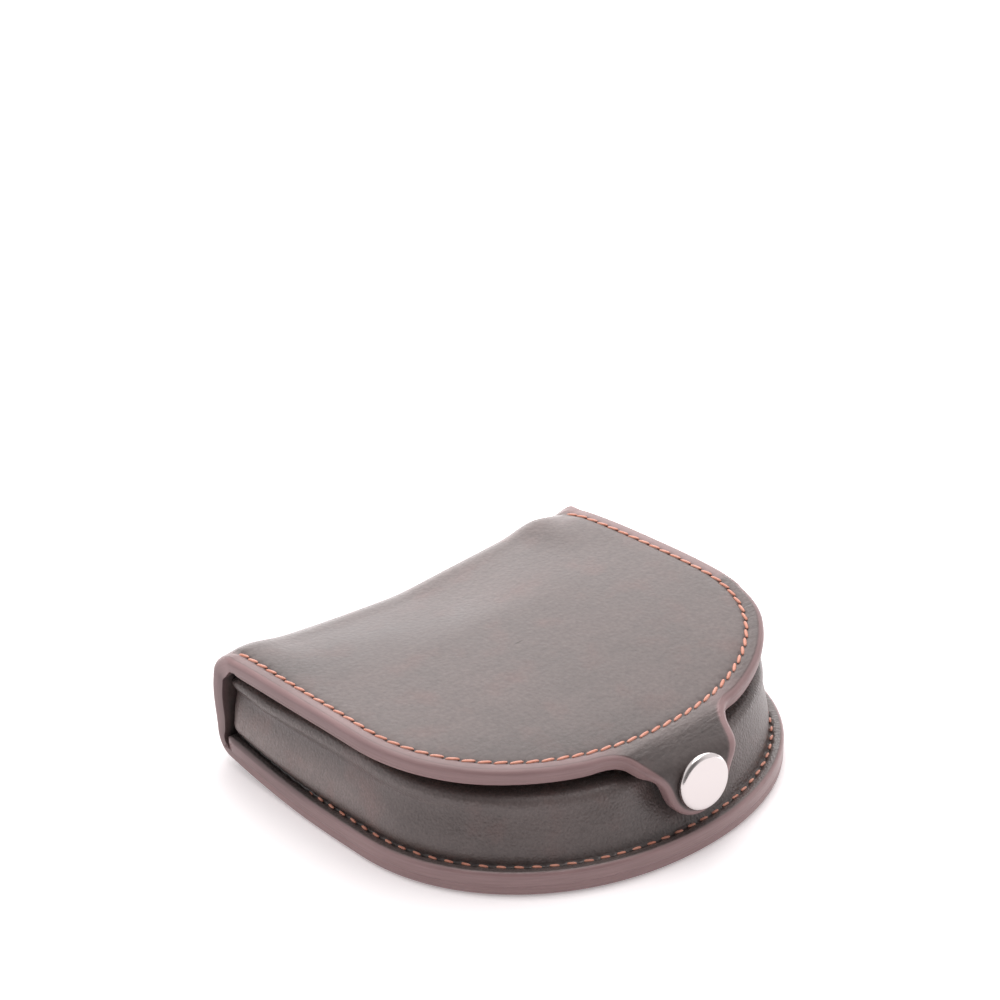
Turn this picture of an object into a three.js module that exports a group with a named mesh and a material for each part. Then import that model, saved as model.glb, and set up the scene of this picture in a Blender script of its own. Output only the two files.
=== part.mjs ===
// Horseshoe coin tray purse in leather: a D-shaped cover folded over a moulded coin bowl, closed by a press stud.
// Millimetres, +Z up. The straight spine is at +Y, the press stud faces -Y, the origin is under the middle.
// Depths called u are measured from the outside of the spine towards the press stud.
import * as THREE from 'three';
import { mergeVertices } from 'three/addons/utils/BufferGeometryUtils.js';

// Overall sizes
const SPINE_HALF = 40.1;        // half width at the spine
const MIDDLE_DEPTH = 38.31;     // depth of the origin behind the spine
const BASE = { half: 42, widest: 40, depth: 76, power: 2.09 };
const FLAP = { half: 41.2, widest: 37, depth: 69.2, power: 2.13 };

// Leather thicknesses, and the glue line kept between two layers
const COVER_THICK = 1.7;
const LINING_THICK = 1.0;
const LINING_SKIVED = 0.4;      // thickness of the pared end of the lining at the fold
const BOWL_THICK = 2.0;
const GLUE = 0.3;

// Base: the back end curls up a little off the table
const LIFT = 2.0;
const LIFT_END = 28;
const LIFT_POWER = 1.6;
const HEEL_RADIUS = 4.5;        // bend from base to spine

// Spine and top fold
const SPINE_BULGE = 0.35;
const FOLD_RADIUS = 5;
const FOLD_TOP = 20.5;

// Flap top: height at the fold end and at the front, with a crown in between
const CROWN = 2.6;
const FRONT_TOP = 19.3;

// Soft saddle where the unsupported middle of the fold sinks
const SAG = 3.1;
const SAG_HALF = 36;
const SAG_ROUND = 3;
const SAG_START = 4;
const SAG_END = 26;

// Closing tab
const TAB_BEND_START = 71;
const TAB_BEND_RADIUS = 4.2;
const TAB_END_HEADING = THREE.MathUtils.degToRad(85);
const TAB_HALF = 10.3;
const TAB_FILLET = 5;
const TAB_TIP_RADIUS = 6.5;
const TAB_STRAIGHT = 8.8;
const TAB_SHIFT = 0.9;          // the tab sits a little to one side
const TAB_SHIFT_START = 55;
const TAB_TWIST = Math.tan(THREE.MathUtils.degToRad(5));

// Moulded bowl
const MOUTH_DEPTH = 4.9;        // where the flange starts, clear of the heel bend
const MOUTH_REACH = 2.3;        // how far the wall runs on towards the spine
const MOUTH_FADE = 9.2;         // depth over which that reach fades out
const MOUTH_RINGS = { start: 1, end: 4 };           // wall profile rows over which it sets in
const FLAP_CLEARANCE = 2.0;     // air between the bowl and the lining
const DENT_HALF = 15;           // half width of the dent behind the tab
// Wall profile from the stitched edge to the top: inset from the base outline, extra inset at the front,
// extra inset behind the tab, and height as a share of the bowl
const WALL_PROFILE = [
  { inset: 0.0, front: 0.0, dent: 0.0, height: 0.0 },
  { inset: 2.4, front: 0.0, dent: 0.0, height: 0.0 },
  { inset: 2.9, front: 0.2, dent: 0.2, height: 0.06 },
  { inset: 2.9, front: 0.7, dent: 0.9, height: 0.22 },
  { inset: 2.8, front: 1.2, dent: 1.8, height: 0.42 },
  { inset: 2.2, front: 1.8, dent: 2.2, height: 0.6 },
  { inset: 1.7, front: 2.4, dent: 2.2, height: 0.75 },
  { inset: 2.0, front: 2.9, dent: 1.9, height: 0.9 },
  { inset: 4.2, front: 3.2, dent: 1.2, height: 0.995 },
  { inset: 7.0, front: 3.2, dent: 0.0, height: 1.0 },
];

// Press stud: cap profile as radius and height above its seat, and the hidden half behind the tab
const CAP_PROFILE = [
  { radius: 0.0, height: 0.0 },
  { radius: 4.4, height: 0.0 },
  { radius: 4.85, height: 0.35 },
  { radius: 4.95, height: 0.8 },
  { radius: 4.75, height: 1.2 },
  { radius: 4.4, height: 1.42 },
  { radius: 2.5, height: 1.56 },
  { radius: 0.0, height: 1.6 },
];
const CAP_SIDES = 40;
const STUD_RADIUS = 3;
const STUD_THICK = 1.2;
const STUD_SIDES = 28;

// Grid densities and small steps
const ACROSS = 14;
const ROWS = {
  front: 12, side: 7, heel: 5, spine: 5, fold: 7,
  flap: 11, brow: 8, tabBend: 6, tab: 3, tip: 6,
  bowl: 28,
};
const BOWL_TOP_COLUMNS = 8;
const BROW_START = 0.66;        // share of the round front of the flap where the rows get closer
const OUTLINE_STEPS = 40;
const OUTLINE_DIVISIONS = 2000;
const BLUNT_FRONT = THREE.MathUtils.degToRad(87);   // the grids stop just short of the outlines' ends
const BLUNT_TIP = THREE.MathUtils.degToRad(85);
const SLOPE_STEP = 0.1;
const ACROSS_STEP = 0.05;
const CLOSE = 1e-4;             // lengths below this count as nothing

const leather = new THREE.MeshStandardMaterial({ color: 0x4a4240, roughness: 0.55, metalness: 0 });
const bowlLeather = new THREE.MeshStandardMaterial({ color: 0x423b39, roughness: 0.6, metalness: 0 });
const liningLeather = new THREE.MeshStandardMaterial({ color: 0x5a4a48, roughness: 0.65, metalness: 0 });
const nickel = new THREE.MeshStandardMaterial({ color: 0xe6e0dd, roughness: 0.18, metalness: 1 });

const smooth = THREE.MathUtils.smoothstep;
const lerp = THREE.MathUtils.lerp;

// Half width of a D outline at depth u
function halfWidth(shape, u) {
  if (u < shape.widest) {
    return shape.half - (shape.half - SPINE_HALF) * (1 - u / shape.widest) ** 2;
  }
  const share = (u - shape.widest) / (shape.depth - shape.widest);
  return shape.half * Math.max(0, 1 - share ** shape.power) ** (1 / shape.power);
}

// Height of the base underside above the table
function baseLift(u) {
  return LIFT * Math.max(0, 1 - u / LIFT_END) ** LIFT_POWER;
}

// Height of the flap's outer face on its edges
function flapTop(u) {
  const share = u / FLAP.depth;
  return lerp(FOLD_TOP - CROWN * 4 * (FOLD_RADIUS / FLAP.depth), FRONT_TOP, share) + CROWN * 4 * share * (1 - share);
}

// Drop of the saddle: full along the fold, fading out towards the front of the flap
function saddle(x, u) {
  const run = Math.hypot(x, SAG_ROUND) - SAG_ROUND;
  const reach = Math.hypot(SAG_HALF, SAG_ROUND) - SAG_ROUND;
  return SAG * Math.max(0, 1 - run / reach) * (1 - smooth(u, SAG_START, SAG_END));
}

// Depth on the flap at which its round front has narrowed to the tab and its fillets
function filletStart() {
  let low = FLAP.widest;
  let high = FLAP.depth;
  while (high - low > CLOSE) {
    const middle = (low + high) / 2;
    if (halfWidth(FLAP, middle) > TAB_HALF + TAB_FILLET) low = middle;
    else high = middle;
  }
  return low;
}

const FILLET_START = filletStart();
const TAB_BEND_HEADING = Math.atan((flapTop(TAB_BEND_START) - flapTop(TAB_BEND_START + SLOPE_STEP)) / SLOPE_STEP);
const TAB_BEND_LENGTH = TAB_BEND_RADIUS * (TAB_END_HEADING - TAB_BEND_HEADING);
const TAB_END = TAB_BEND_START + TAB_BEND_LENGTH + TAB_STRAIGHT;
const TIP_CENTRE = TAB_END - TAB_TIP_RADIUS;

// Half width of flap and tab at length q along them
function frontHalf(q) {
  if (q < FILLET_START) return halfWidth(FLAP, q);
  const filletEnd = FILLET_START + TAB_FILLET;
  if (q < filletEnd) return TAB_HALF + TAB_FILLET - Math.sqrt(TAB_FILLET ** 2 - (filletEnd - q) ** 2);
  if (q < TIP_CENTRE) return lerp(TAB_HALF, TAB_TIP_RADIUS, (q - filletEnd) / (TIP_CENTRE - filletEnd));
  return Math.sqrt(Math.max(0, TAB_TIP_RADIUS ** 2 - (q - TIP_CENTRE) ** 2));
}

// Outer face of flap and tab in the u, z plane at length q
function frontPath(q) {
  if (q < TAB_BEND_START) return { u: q, z: flapTop(q) };
  const turn = Math.min((q - TAB_BEND_START) / TAB_BEND_RADIUS, TAB_END_HEADING - TAB_BEND_HEADING);
  const heading = TAB_BEND_HEADING + turn;
  const straight = Math.max(0, q - TAB_BEND_START - TAB_BEND_LENGTH);
  return {
    u: TAB_BEND_START + TAB_BEND_RADIUS * (Math.sin(heading) - Math.sin(TAB_BEND_HEADING))
      + straight * Math.cos(TAB_END_HEADING),
    z: flapTop(TAB_BEND_START) - TAB_BEND_RADIUS * (Math.cos(TAB_BEND_HEADING) - Math.cos(heading))
      - straight * Math.sin(TAB_END_HEADING),
  };
}

// The tab sits a little to one side and turns a little about its length
function frontStation(q) {
  const { u, z } = frontPath(q);
  const centre = TAB_SHIFT * smooth(q, TAB_SHIFT_START, FILLET_START);
  const twist = TAB_TWIST * smooth(q, FILLET_START, TIP_CENTRE - STUD_RADIUS);
  return { u, z, half: frontHalf(q), centre, sag: 1, twist };
}

// Stations along the base, up the spine and over the fold
function backStations() {
  const list = [];
  const heelTop = baseLift(HEEL_RADIUS) + HEEL_RADIUS;
  const foldFoot = FOLD_TOP - FOLD_RADIUS;
  const at = (u, z, half, sag) => list.push({ u, z, half, centre: 0, sag, twist: 0 });
  for (let i = 0; i < ROWS.front; i++) {
    const angle = lerp(BLUNT_FRONT, 0, i / ROWS.front);
    const u = BASE.widest + (BASE.depth - BASE.widest) * Math.sin(angle);
    at(u, baseLift(u), halfWidth(BASE, u), 0);
  }
  for (let i = 0; i < ROWS.side; i++) {
    const u = lerp(BASE.widest, HEEL_RADIUS, i / ROWS.side);
    at(u, baseLift(u), halfWidth(BASE, u), 0);
  }
  for (let i = 0; i < ROWS.heel; i++) {
    const angle = (Math.PI / 2) * (i / ROWS.heel);
    const u = HEEL_RADIUS * (1 - Math.sin(angle));
    at(u, heelTop - HEEL_RADIUS * Math.cos(angle), halfWidth(BASE, u), 0);
  }
  for (let i = 0; i < ROWS.spine; i++) {
    const share = i / ROWS.spine;
    at(-SPINE_BULGE * Math.sin(Math.PI * share), lerp(heelTop, foldFoot, share), SPINE_HALF, smooth(share, 0, 1));
  }
  for (let i = 0; i < ROWS.fold; i++) {
    const angle = (Math.PI / 2) * (i / ROWS.fold);
    at(FOLD_RADIUS * (1 - Math.cos(angle)), foldFoot + FOLD_RADIUS * Math.sin(angle), SPINE_HALF, 1);
  }
  return list;
}

// Stations from the fold to the tip of the tab
function frontStations() {
  const lengths = [];
  const spread = (from, to, count) => {
    for (let i = 0; i < count; i++) lengths.push(lerp(from, to, i / count));
  };
  const browStart = lerp(FLAP.widest, FLAP.depth, BROW_START);
  spread(FOLD_RADIUS, browStart, ROWS.flap);
  spread(browStart, FILLET_START, ROWS.brow);
  spread(FILLET_START, TAB_BEND_START, ROWS.tabBend);
  spread(TAB_BEND_START, TAB_BEND_START + TAB_BEND_LENGTH, ROWS.tabBend);
  spread(TAB_BEND_START + TAB_BEND_LENGTH, TIP_CENTRE, ROWS.tab);
  for (let i = 0; i <= ROWS.tip; i++) {
    lengths.push(TIP_CENTRE + TAB_TIP_RADIUS * Math.sin(BLUNT_TIP * (i / ROWS.tip)));
  }
  return lengths.map(frontStation);
}

// Point of the cover's outer face at a station and a sideways position
function coverPoint(station, x) {
  const turn = station.twist * (x - station.centre);
  return new THREE.Vector3(x, MIDDLE_DEPTH - station.u - turn, station.z - station.sag * saddle(x, station.u));
}

// The same point moved into the leather by a depth
function coverInside(stations, index, x, depth) {
  const before = coverPoint(stations[Math.max(0, index - 1)], x);
  const after = coverPoint(stations[Math.min(stations.length - 1, index + 1)], x);
  const along = after.sub(before);
  const across = coverPoint(stations[index], x + ACROSS_STEP).sub(coverPoint(stations[index], x - ACROSS_STEP));
  const inward = across.cross(along).normalize();
  return coverPoint(stations[index], x).addScaledVector(inward, depth);
}

// A slab of leather: a box whose vertices are moved to place(across -1..1, row, deep side or not).
// Where the box closes on itself, the flattened triangles and the faces that meet back to back are dropped.
function slab(columns, rows, place) {
  const box = new THREE.BoxGeometry(2, rows, 1, columns, rows, 1);
  box.deleteAttribute('normal');
  box.deleteAttribute('uv');
  const position = box.attributes.position;
  for (let i = 0; i < position.count; i++) {
    const row = Math.round(position.getY(i) + rows / 2);
    const point = place(position.getX(i), row, position.getZ(i) > 0);
    position.setXYZ(i, point.x, point.y, point.z);
  }
  const geometry = mergeVertices(box, CLOSE);
  const faces = new Map();
  const index = geometry.index.array;
  for (let i = 0; i < index.length; i += 3) {
    const corners = [index[i], index[i + 1], index[i + 2]];
    if (new Set(corners).size < 3) continue;
    const key = [...corners].sort((a, b) => a - b).join(' ');
    if (faces.has(key)) faces.delete(key);
    else faces.set(key, corners);
  }
  geometry.setIndex([...faces.values()].flat());
  geometry.computeVertexNormals();
  return geometry;
}

function coverGeometry(stations) {
  return slab(ACROSS, stations.length - 1, (a, row, deep) => {
    const station = stations[row];
    return coverInside(stations, row, station.centre + a * station.half, deep ? COVER_THICK : 0);
  });
}

// The lining lies under the flap and tab, pared thin where it starts beside the fold
function liningGeometry(stations, first) {
  return slab(ACROSS, stations.length - 1 - first, (a, row, deep) => {
    const station = stations[first + row];
    const thick = row === 0 ? LINING_SKIVED : LINING_THICK;
    const depth = COVER_THICK + GLUE + (deep ? thick : 0);
    return coverInside(stations, first + row, station.centre + a * station.half, depth);
  });
}

// Left half of the base outline, from the mouth to the middle of the front
function baseOutline() {
  const points = [];
  for (let i = 0; i < OUTLINE_STEPS; i++) {
    const u = lerp(MOUTH_DEPTH, BASE.widest, i / OUTLINE_STEPS);
    points.push(new THREE.Vector2(-halfWidth(BASE, u), u));
  }
  for (let i = 0; i <= OUTLINE_STEPS; i++) {
    const u = BASE.widest + (BASE.depth - BASE.widest) * Math.sin((Math.PI / 2) * (i / OUTLINE_STEPS));
    points.push(new THREE.Vector2(-halfWidth(BASE, u), u));
  }
  const outline = new THREE.SplineCurve(points);
  outline.arcLengthDivisions = OUTLINE_DIVISIONS;
  return outline;
}

// Wall profile at one place on the outline, as inset and height, with the inside offset by the leather
function wallPoint(ring, frontShare, dentShare, tall, deep) {
  const at = (index) => {
    const row = WALL_PROFILE[THREE.MathUtils.clamp(index, 0, WALL_PROFILE.length - 1)];
    return new THREE.Vector2(row.inset + frontShare * row.front + dentShare * row.dent, row.height * tall);
  };
  const point = at(ring);
  if (!deep) return point;
  const along = at(ring + 1).sub(at(ring - 1)).normalize();
  return point.add(new THREE.Vector2(along.y, -along.x).multiplyScalar(BOWL_THICK));
}

// Outer face of the top of the bowl, held clear of the lining
function bowlTop(x, u) {
  const layers = COVER_THICK + GLUE + LINING_THICK + FLAP_CLEARANCE;
  return flapTop(Math.max(u, FOLD_RADIUS)) - saddle(x, u) - layers;
}

// The bowl: rows from the mouth to the middle of the front. Each row climbs the left wall from the stitched edge,
// crosses the top and comes down the right wall; the two walls meet in the last row.
function bowlGeometry() {
  const outline = baseOutline();
  const crestRing = WALL_PROFILE.length - 1;
  const columns = 2 * crestRing + BOWL_TOP_COLUMNS;
  const flangeTop = COVER_THICK + GLUE + BOWL_THICK;
  return slab(columns, ROWS.bowl, (a, row, deep) => {
    const column = Math.round((a + 1) * columns / 2);
    const side = column <= columns / 2 ? 1 : -1;
    const ring = Math.min(column, columns - column, crestRing);
    const share = row / ROWS.bowl;
    const point = outline.getPointAt(share);
    const tangent = outline.getTangentAt(share);
    const inward = row === ROWS.bowl ? new THREE.Vector2(0, -1) : new THREE.Vector2(tangent.y, -tangent.x);
    const frontShare = Math.max(0, -inward.y) ** 2;
    const dentShare = frontShare * (1 - smooth(Math.abs(point.x), 0, DENT_HALF));
    const crest = point.clone().addScaledVector(inward, wallPoint(crestRing, frontShare, dentShare, 1, false).x);
    const foot = flangeTop + baseLift(point.y);
    const wall = wallPoint(ring, frontShare, dentShare, bowlTop(crest.x, crest.y) - foot, deep);
    const place = point.clone().addScaledVector(inward, wall.x);
    // The wall and top run on towards the spine where the flange has already stopped
    const nearMouth = 1 - smooth(point.y, MOUTH_DEPTH, MOUTH_DEPTH + MOUTH_FADE);
    const y = MIDDLE_DEPTH - place.y + MOUTH_REACH * nearMouth * smooth(ring, MOUTH_RINGS.start, MOUTH_RINGS.end);
    if (ring < crestRing) return new THREE.Vector3(side * place.x, y, foot + wall.y);
    const x = crest.x * (1 - 2 * (column - crestRing) / BOWL_TOP_COLUMNS);
    return new THREE.Vector3(x, y, bowlTop(x, crest.y) - (deep ? BOWL_THICK : 0));
  });
}

// Frame on the middle of the tab at the cap: X across, Z out of the leather, origin on the outer face
function tabFrame() {
  const station = frontStation(TIP_CENTRE);
  const frame = new THREE.Group();
  frame.position.set(station.centre, MIDDLE_DEPTH - station.u, station.z);
  frame.rotation.set(TAB_END_HEADING, 0, -Math.atan(TAB_TWIST), 'ZXY');
  return frame;
}

function capGeometry() {
  const profile = CAP_PROFILE.map((row) => new THREE.Vector2(row.radius, row.height));
  const geometry = new THREE.LatheGeometry(profile, CAP_SIDES);
  geometry.rotateX(Math.PI / 2);
  return geometry;
}

function studGeometry() {
  const geometry = new THREE.CylinderGeometry(STUD_RADIUS, STUD_RADIUS, STUD_THICK, STUD_SIDES);
  geometry.rotateX(Math.PI / 2);
  return geometry;
}

function named(name, geometry, material) {
  const mesh = new THREE.Mesh(geometry, material);
  mesh.name = name;
  return mesh;
}

const back = backStations();
const stations = [...back, ...frontStations()];
const purse = new THREE.Group();
purse.add(named('cover', coverGeometry(stations), leather));
purse.add(named('flap_lining', liningGeometry(stations, back.length), liningLeather));
purse.add(named('bowl', bowlGeometry(), bowlLeather));

const tab = tabFrame();
const cap = named('snap_cap', capGeometry(), nickel);
cap.position.z = GLUE;
const stud = named('snap_stud', studGeometry(), nickel);
stud.position.z = -(COVER_THICK + GLUE + LINING_THICK + GLUE + STUD_THICK / 2);
tab.add(cap, stud);
purse.add(tab);

export default purse;
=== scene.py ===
# Horseshoe coin tray purse in leather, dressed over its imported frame: cover and flap, lining, moulded bowl,
# rows of stitching and a nickel press stud.
# Shapes are worked out in millimetres in the frame's axes. Depths called u run from the spine to the press
# stud, and lengths called t run along the cover from the front of the base, up the spine and over to the tip
# of the tab.
import math

import bpy
import bmesh
import numpy as np
from mathutils import Matrix, Vector
from mathutils.geometry import delaunay_2d_cdt


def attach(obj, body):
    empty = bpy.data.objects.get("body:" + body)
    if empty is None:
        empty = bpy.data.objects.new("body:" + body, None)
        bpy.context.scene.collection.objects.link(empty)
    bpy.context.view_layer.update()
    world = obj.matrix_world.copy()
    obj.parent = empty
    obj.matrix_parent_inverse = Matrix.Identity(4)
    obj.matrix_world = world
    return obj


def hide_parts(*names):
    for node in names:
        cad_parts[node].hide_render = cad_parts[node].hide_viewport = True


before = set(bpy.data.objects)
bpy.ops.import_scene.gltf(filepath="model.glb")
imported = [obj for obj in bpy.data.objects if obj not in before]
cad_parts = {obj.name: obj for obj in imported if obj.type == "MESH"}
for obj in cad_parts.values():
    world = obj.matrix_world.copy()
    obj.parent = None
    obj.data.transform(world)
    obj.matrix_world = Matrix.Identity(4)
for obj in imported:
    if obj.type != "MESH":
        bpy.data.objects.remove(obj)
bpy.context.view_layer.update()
MM = 0.001

# Sizes of the purse, most of them as in its CAD source
SPINE_HALF = 40.1
MIDDLE_DEPTH = 38.31
BASE = {"half": 42.0, "widest": 40.0, "depth": 76.0, "power": 2.09}
FLAP = {"half": 41.2, "widest": 37.0, "depth": 69.2, "power": 2.13}
LIFT = 2.0
LIFT_END = 28.0
LIFT_POWER = 1.6
HEEL_RADIUS = 4.5
SPINE_BULGE = 0.35
FOLD_RADIUS = 5.0
FOLD_TOP = 20.5
CROWN = 2.6
FRONT_TOP = 19.3
SAG = 3.1
SAG_HALF = 36.0
SAG_ROUND = 3.0
SAG_START = 4.0
SAG_END = 26.0
TAB_BEND_START = 71.0
TAB_BEND_RADIUS = 4.2
TAB_END_HEADING = math.radians(85)
TAB_HALF = 9.85
TAB_FILLET = 6.0
TAB_TIP_RADIUS = 6.5
TAB_STRAIGHT = 8.8
TAB_SHIFT = 0.9
TAB_SHIFT_START = 55.0
TAB_TWIST = math.tan(math.radians(5))
STUD_RADIUS = 3.0
MOUTH_DEPTH = 4.1           # the flange's end, a little nearer the spine than its CAD solid
MOUTH_REACH = 1.5
FLANGE_REACH = 0.85
MOUTH_FADE = 9.2
MOUTH_RISE = 1.2            # by which the bowl's top climbs at its mouth
BOWL_CLEAR = 5.0            # from the flap's outer face to the top of the bowl
DENT_HALF = 15.0

# Leather as the eye sees it, with the glue lines closed
COVER_THICK = 2.0
LINING_THICK = 0.75
SPINE_EXTRA = 0.65              # share by which the lined spine is thicker
FLANGE_THICK = 2.35
BOWL_THICK = 1.6

# Stitching
FLAP_SEAM_INSET = 2.84
FLAP_SEAM_START = 4.0           # depth of the row's ends
FLAP_PITCH = 2.55
BASE_SEAM_INSET = 2.15
BASE_SEAM_START = MOUTH_DEPTH + 1.5
BASE_PITCH = 2.85
GROOVE_DEPTH = 0.16
GROOVE_WIDTH = 0.5
HOLE_DEPTH = 0.24
HOLE_WIDTH = 0.4                # beside the seam
HOLE_SHARE = 0.16               # along the seam, as a share of the pitch
STITCH_SINK = 0.12
NO_SEAM = 9.0                   # distance given to places that no seam reaches


def smooth(value, low, high):
    share = np.clip((value - low) / (high - low), 0.0, 1.0)
    return share * share * (3 - 2 * share)


def bell(value, width):
    return np.exp(-(value / width) ** 2)


# Half width of a D outline at depth u
def half_width(shape, u):
    near = shape["half"] - (shape["half"] - SPINE_HALF) * (1 - u / shape["widest"]) ** 2
    share = np.clip((u - shape["widest"]) / (shape["depth"] - shape["widest"]), 0.0, 1.0)
    far = shape["half"] * (1 - share ** shape["power"]) ** (1 / shape["power"])
    return np.where(u < shape["widest"], near, far)


def base_lift(u):
    return LIFT * np.clip(1 - u / LIFT_END, 0, None) ** LIFT_POWER


# Height of the flap's outer face on its edges
def flap_top(u):
    share = u / FLAP["depth"]
    start = FOLD_TOP - CROWN * 4 * FOLD_RADIUS / FLAP["depth"]
    return start + (FRONT_TOP - start) * share + CROWN * 4 * share * (1 - share)


# Drop of the unsupported middle of the fold
def saddle(x, u):
    run = np.hypot(x, SAG_ROUND) - SAG_ROUND
    reach = math.hypot(SAG_HALF, SAG_ROUND) - SAG_ROUND
    return SAG * np.clip(1 - run / reach, 0, None) * (1 - smooth(u, SAG_START, SAG_END))


# Soft swells of the fold: middle and width along the spine, rise, and the depth at which each has faded out
FOLD_SWELLS = [
    {"at": -33.5, "width": 4.5, "rise": 0.75, "fade": 20.0},
    {"at": 30.5, "width": 3.8, "rise": 0.7, "fade": 20.0},
    {"at": 36.5, "width": 2.6, "rise": -0.75, "fade": 9.0},
    {"at": 40.4, "width": 0.8, "rise": 0.95, "fade": 4.5},
    {"at": 3.0, "width": 15.0, "rise": 0.55, "fade": 22.0},
]
SWELL_FROM = 2.0                # depth down to which the swells are whole
# The fold as a whole, and the far half of the flap, stand a little above their CAD solid
FOLD_LIFT = {"rise": 0.45, "u": (6.0, 26.0)}
FAR_LIFT = {"rise": 0.35, "x": (-5.0, 25.0), "u": (56.0, 69.0)}
BACK_BULGE = {"rise": 0.8, "height": 14.5, "width": 6.0, "fade": 4.0}


def fold_swell(x, u):
    total = FOLD_LIFT["rise"] * (1 - smooth(u, *FOLD_LIFT["u"]))
    total = total + FAR_LIFT["rise"] * smooth(x, *FAR_LIFT["x"]) * (1 - smooth(u, *FAR_LIFT["u"]))
    for swell in FOLD_SWELLS:
        rise = swell["rise"] * bell(x - swell["at"], swell["width"])
        total = total + rise * (1 - smooth(u, SWELL_FROM, swell["fade"]))
    return total


# Depth on the flap at which its round front has narrowed to the tab and its fillets
def fillet_start():
    depths = np.linspace(FLAP["widest"], FLAP["depth"], 40001)
    return float(depths[np.argmax(half_width(FLAP, depths) < TAB_HALF + TAB_FILLET)])


FILLET_START = fillet_start()
FILLET_END = FILLET_START + TAB_FILLET
TAB_BEND_HEADING = math.atan((flap_top(TAB_BEND_START) - flap_top(TAB_BEND_START + 0.1)) / 0.1)
TAB_TIP_HEIGHT = (flap_top(TAB_BEND_START) - TAB_STRAIGHT * math.sin(TAB_END_HEADING)
                  - TAB_BEND_RADIUS * (math.cos(TAB_BEND_HEADING) - math.cos(TAB_END_HEADING)))
CREASE = {"from": 67.8, "to": 69.2, "turn": math.radians(17)}
MAIN_BEND = {"from": 72.4, "to": 77.4}


# Flap and tab beyond the start of the crease: length q, depth and height of the outer face
def tab_table(step=0.02):
    q = np.arange(CREASE["from"], 90.0, step)
    flat = np.arctan(-np.gradient(flap_top(q), step))
    heading = flat + CREASE["turn"] * smooth(q, CREASE["from"], CREASE["to"])
    heading = heading + (TAB_END_HEADING - heading) * smooth(q, MAIN_BEND["from"], MAIN_BEND["to"])
    u = CREASE["from"] + np.concatenate([[0], np.cumsum(np.cos(heading[:-1]))]) * step
    z = flap_top(CREASE["from"]) - np.concatenate([[0], np.cumsum(np.sin(heading[:-1]))]) * step
    return q, u, z


TAB_Q, TAB_U, TAB_Z = tab_table()
TAB_END = float(TAB_Q[np.argmax(TAB_Z < TAB_TIP_HEIGHT)])
TIP_CENTRE = TAB_END - TAB_TIP_RADIUS


# Half width of flap and tab at length q along them
def front_half(q):
    fillet = TAB_HALF + TAB_FILLET - np.sqrt(np.clip(TAB_FILLET ** 2 - (FILLET_END - q) ** 2, 0, None))
    taper = TAB_HALF + (TAB_TIP_RADIUS - TAB_HALF) * (q - FILLET_END) / (TIP_CENTRE - FILLET_END)
    tip = np.sqrt(np.clip(TAB_TIP_RADIUS ** 2 - (q - TIP_CENTRE) ** 2, 0, None))
    tab = np.where(q < FILLET_END, fillet, np.where(q < TIP_CENTRE, taper, tip))
    return np.where(q < FILLET_START, half_width(FLAP, q), tab)


# Outer face of flap and tab in the u, z plane at length q
def front_path(q):
    flat = q < CREASE["from"]
    u = np.where(flat, q, np.interp(q, TAB_Q, TAB_U))
    z = np.where(flat, flap_top(q), np.interp(q, TAB_Q, TAB_Z))
    return u, z


# Stretches of the cover, as lengths t
HEEL_TOP = float(base_lift(HEEL_RADIUS)) + HEEL_RADIUS
FOLD_FOOT = FOLD_TOP - FOLD_RADIUS
HEEL_AT = BASE["depth"] - HEEL_RADIUS
SPINE_AT = HEEL_AT + HEEL_RADIUS * math.pi / 2
FOLD_AT = SPINE_AT + FOLD_FOOT - HEEL_TOP
FLAP_AT = FOLD_AT + FOLD_RADIUS * math.pi / 2
COVER_END = FLAP_AT + TAB_END - FOLD_RADIUS


# Length t of a depth on the flap
def flap_t(u):
    return FLAP_AT + u - FOLD_RADIUS


# Length t of a depth on the base
def base_t(u):
    return BASE["depth"] - u


# Smooth step along the flap between two depths
def past_depth(t, first, last):
    return smooth(t, flap_t(first), flap_t(last))


# Table along the cover: t, u, z, share of the sag, twist and centre
def cover_table(step=0.1):
    t = np.arange(0, COVER_END + step / 2, step)
    base_u = BASE["depth"] - t
    heel = (t - HEEL_AT) / HEEL_RADIUS
    heel_u = HEEL_RADIUS * (1 - np.sin(heel))
    heel_z = HEEL_TOP - HEEL_RADIUS * np.cos(heel)
    spine = (t - SPINE_AT) / (FOLD_AT - SPINE_AT)
    spine_u = -SPINE_BULGE * np.sin(math.pi * spine)
    spine_z = HEEL_TOP + (FOLD_FOOT - HEEL_TOP) * spine
    fold = (t - FOLD_AT) / FOLD_RADIUS
    fold_u = FOLD_RADIUS * (1 - np.cos(fold))
    fold_z = FOLD_FOOT + FOLD_RADIUS * np.sin(fold)
    q = t - FLAP_AT + FOLD_RADIUS
    front_u, front_z = front_path(q)
    stretches = [t < HEEL_AT, t < SPINE_AT, t < FOLD_AT, t < FLAP_AT]
    shift = (smooth(q, TAB_SHIFT_START, FILLET_START) + smooth(q, FILLET_END, TIP_CENTRE)) / 2
    return {
        "t": t,
        "u": np.select(stretches, [base_u, heel_u, spine_u, fold_u], front_u),
        "z": np.select(stretches, [base_lift(base_u), heel_z, spine_z, fold_z], front_z),
        "sag": np.select(stretches[1:3], [np.zeros_like(t), smooth(spine, 0, 1)], 1.0),
        "twist": TAB_TWIST * smooth(q, FILLET_START, TIP_CENTRE - STUD_RADIUS),
        "centre": TAB_SHIFT * shift,
    }


COVER = cover_table()


def along(name, t):
    return np.interp(t, COVER["t"], COVER[name])


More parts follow.
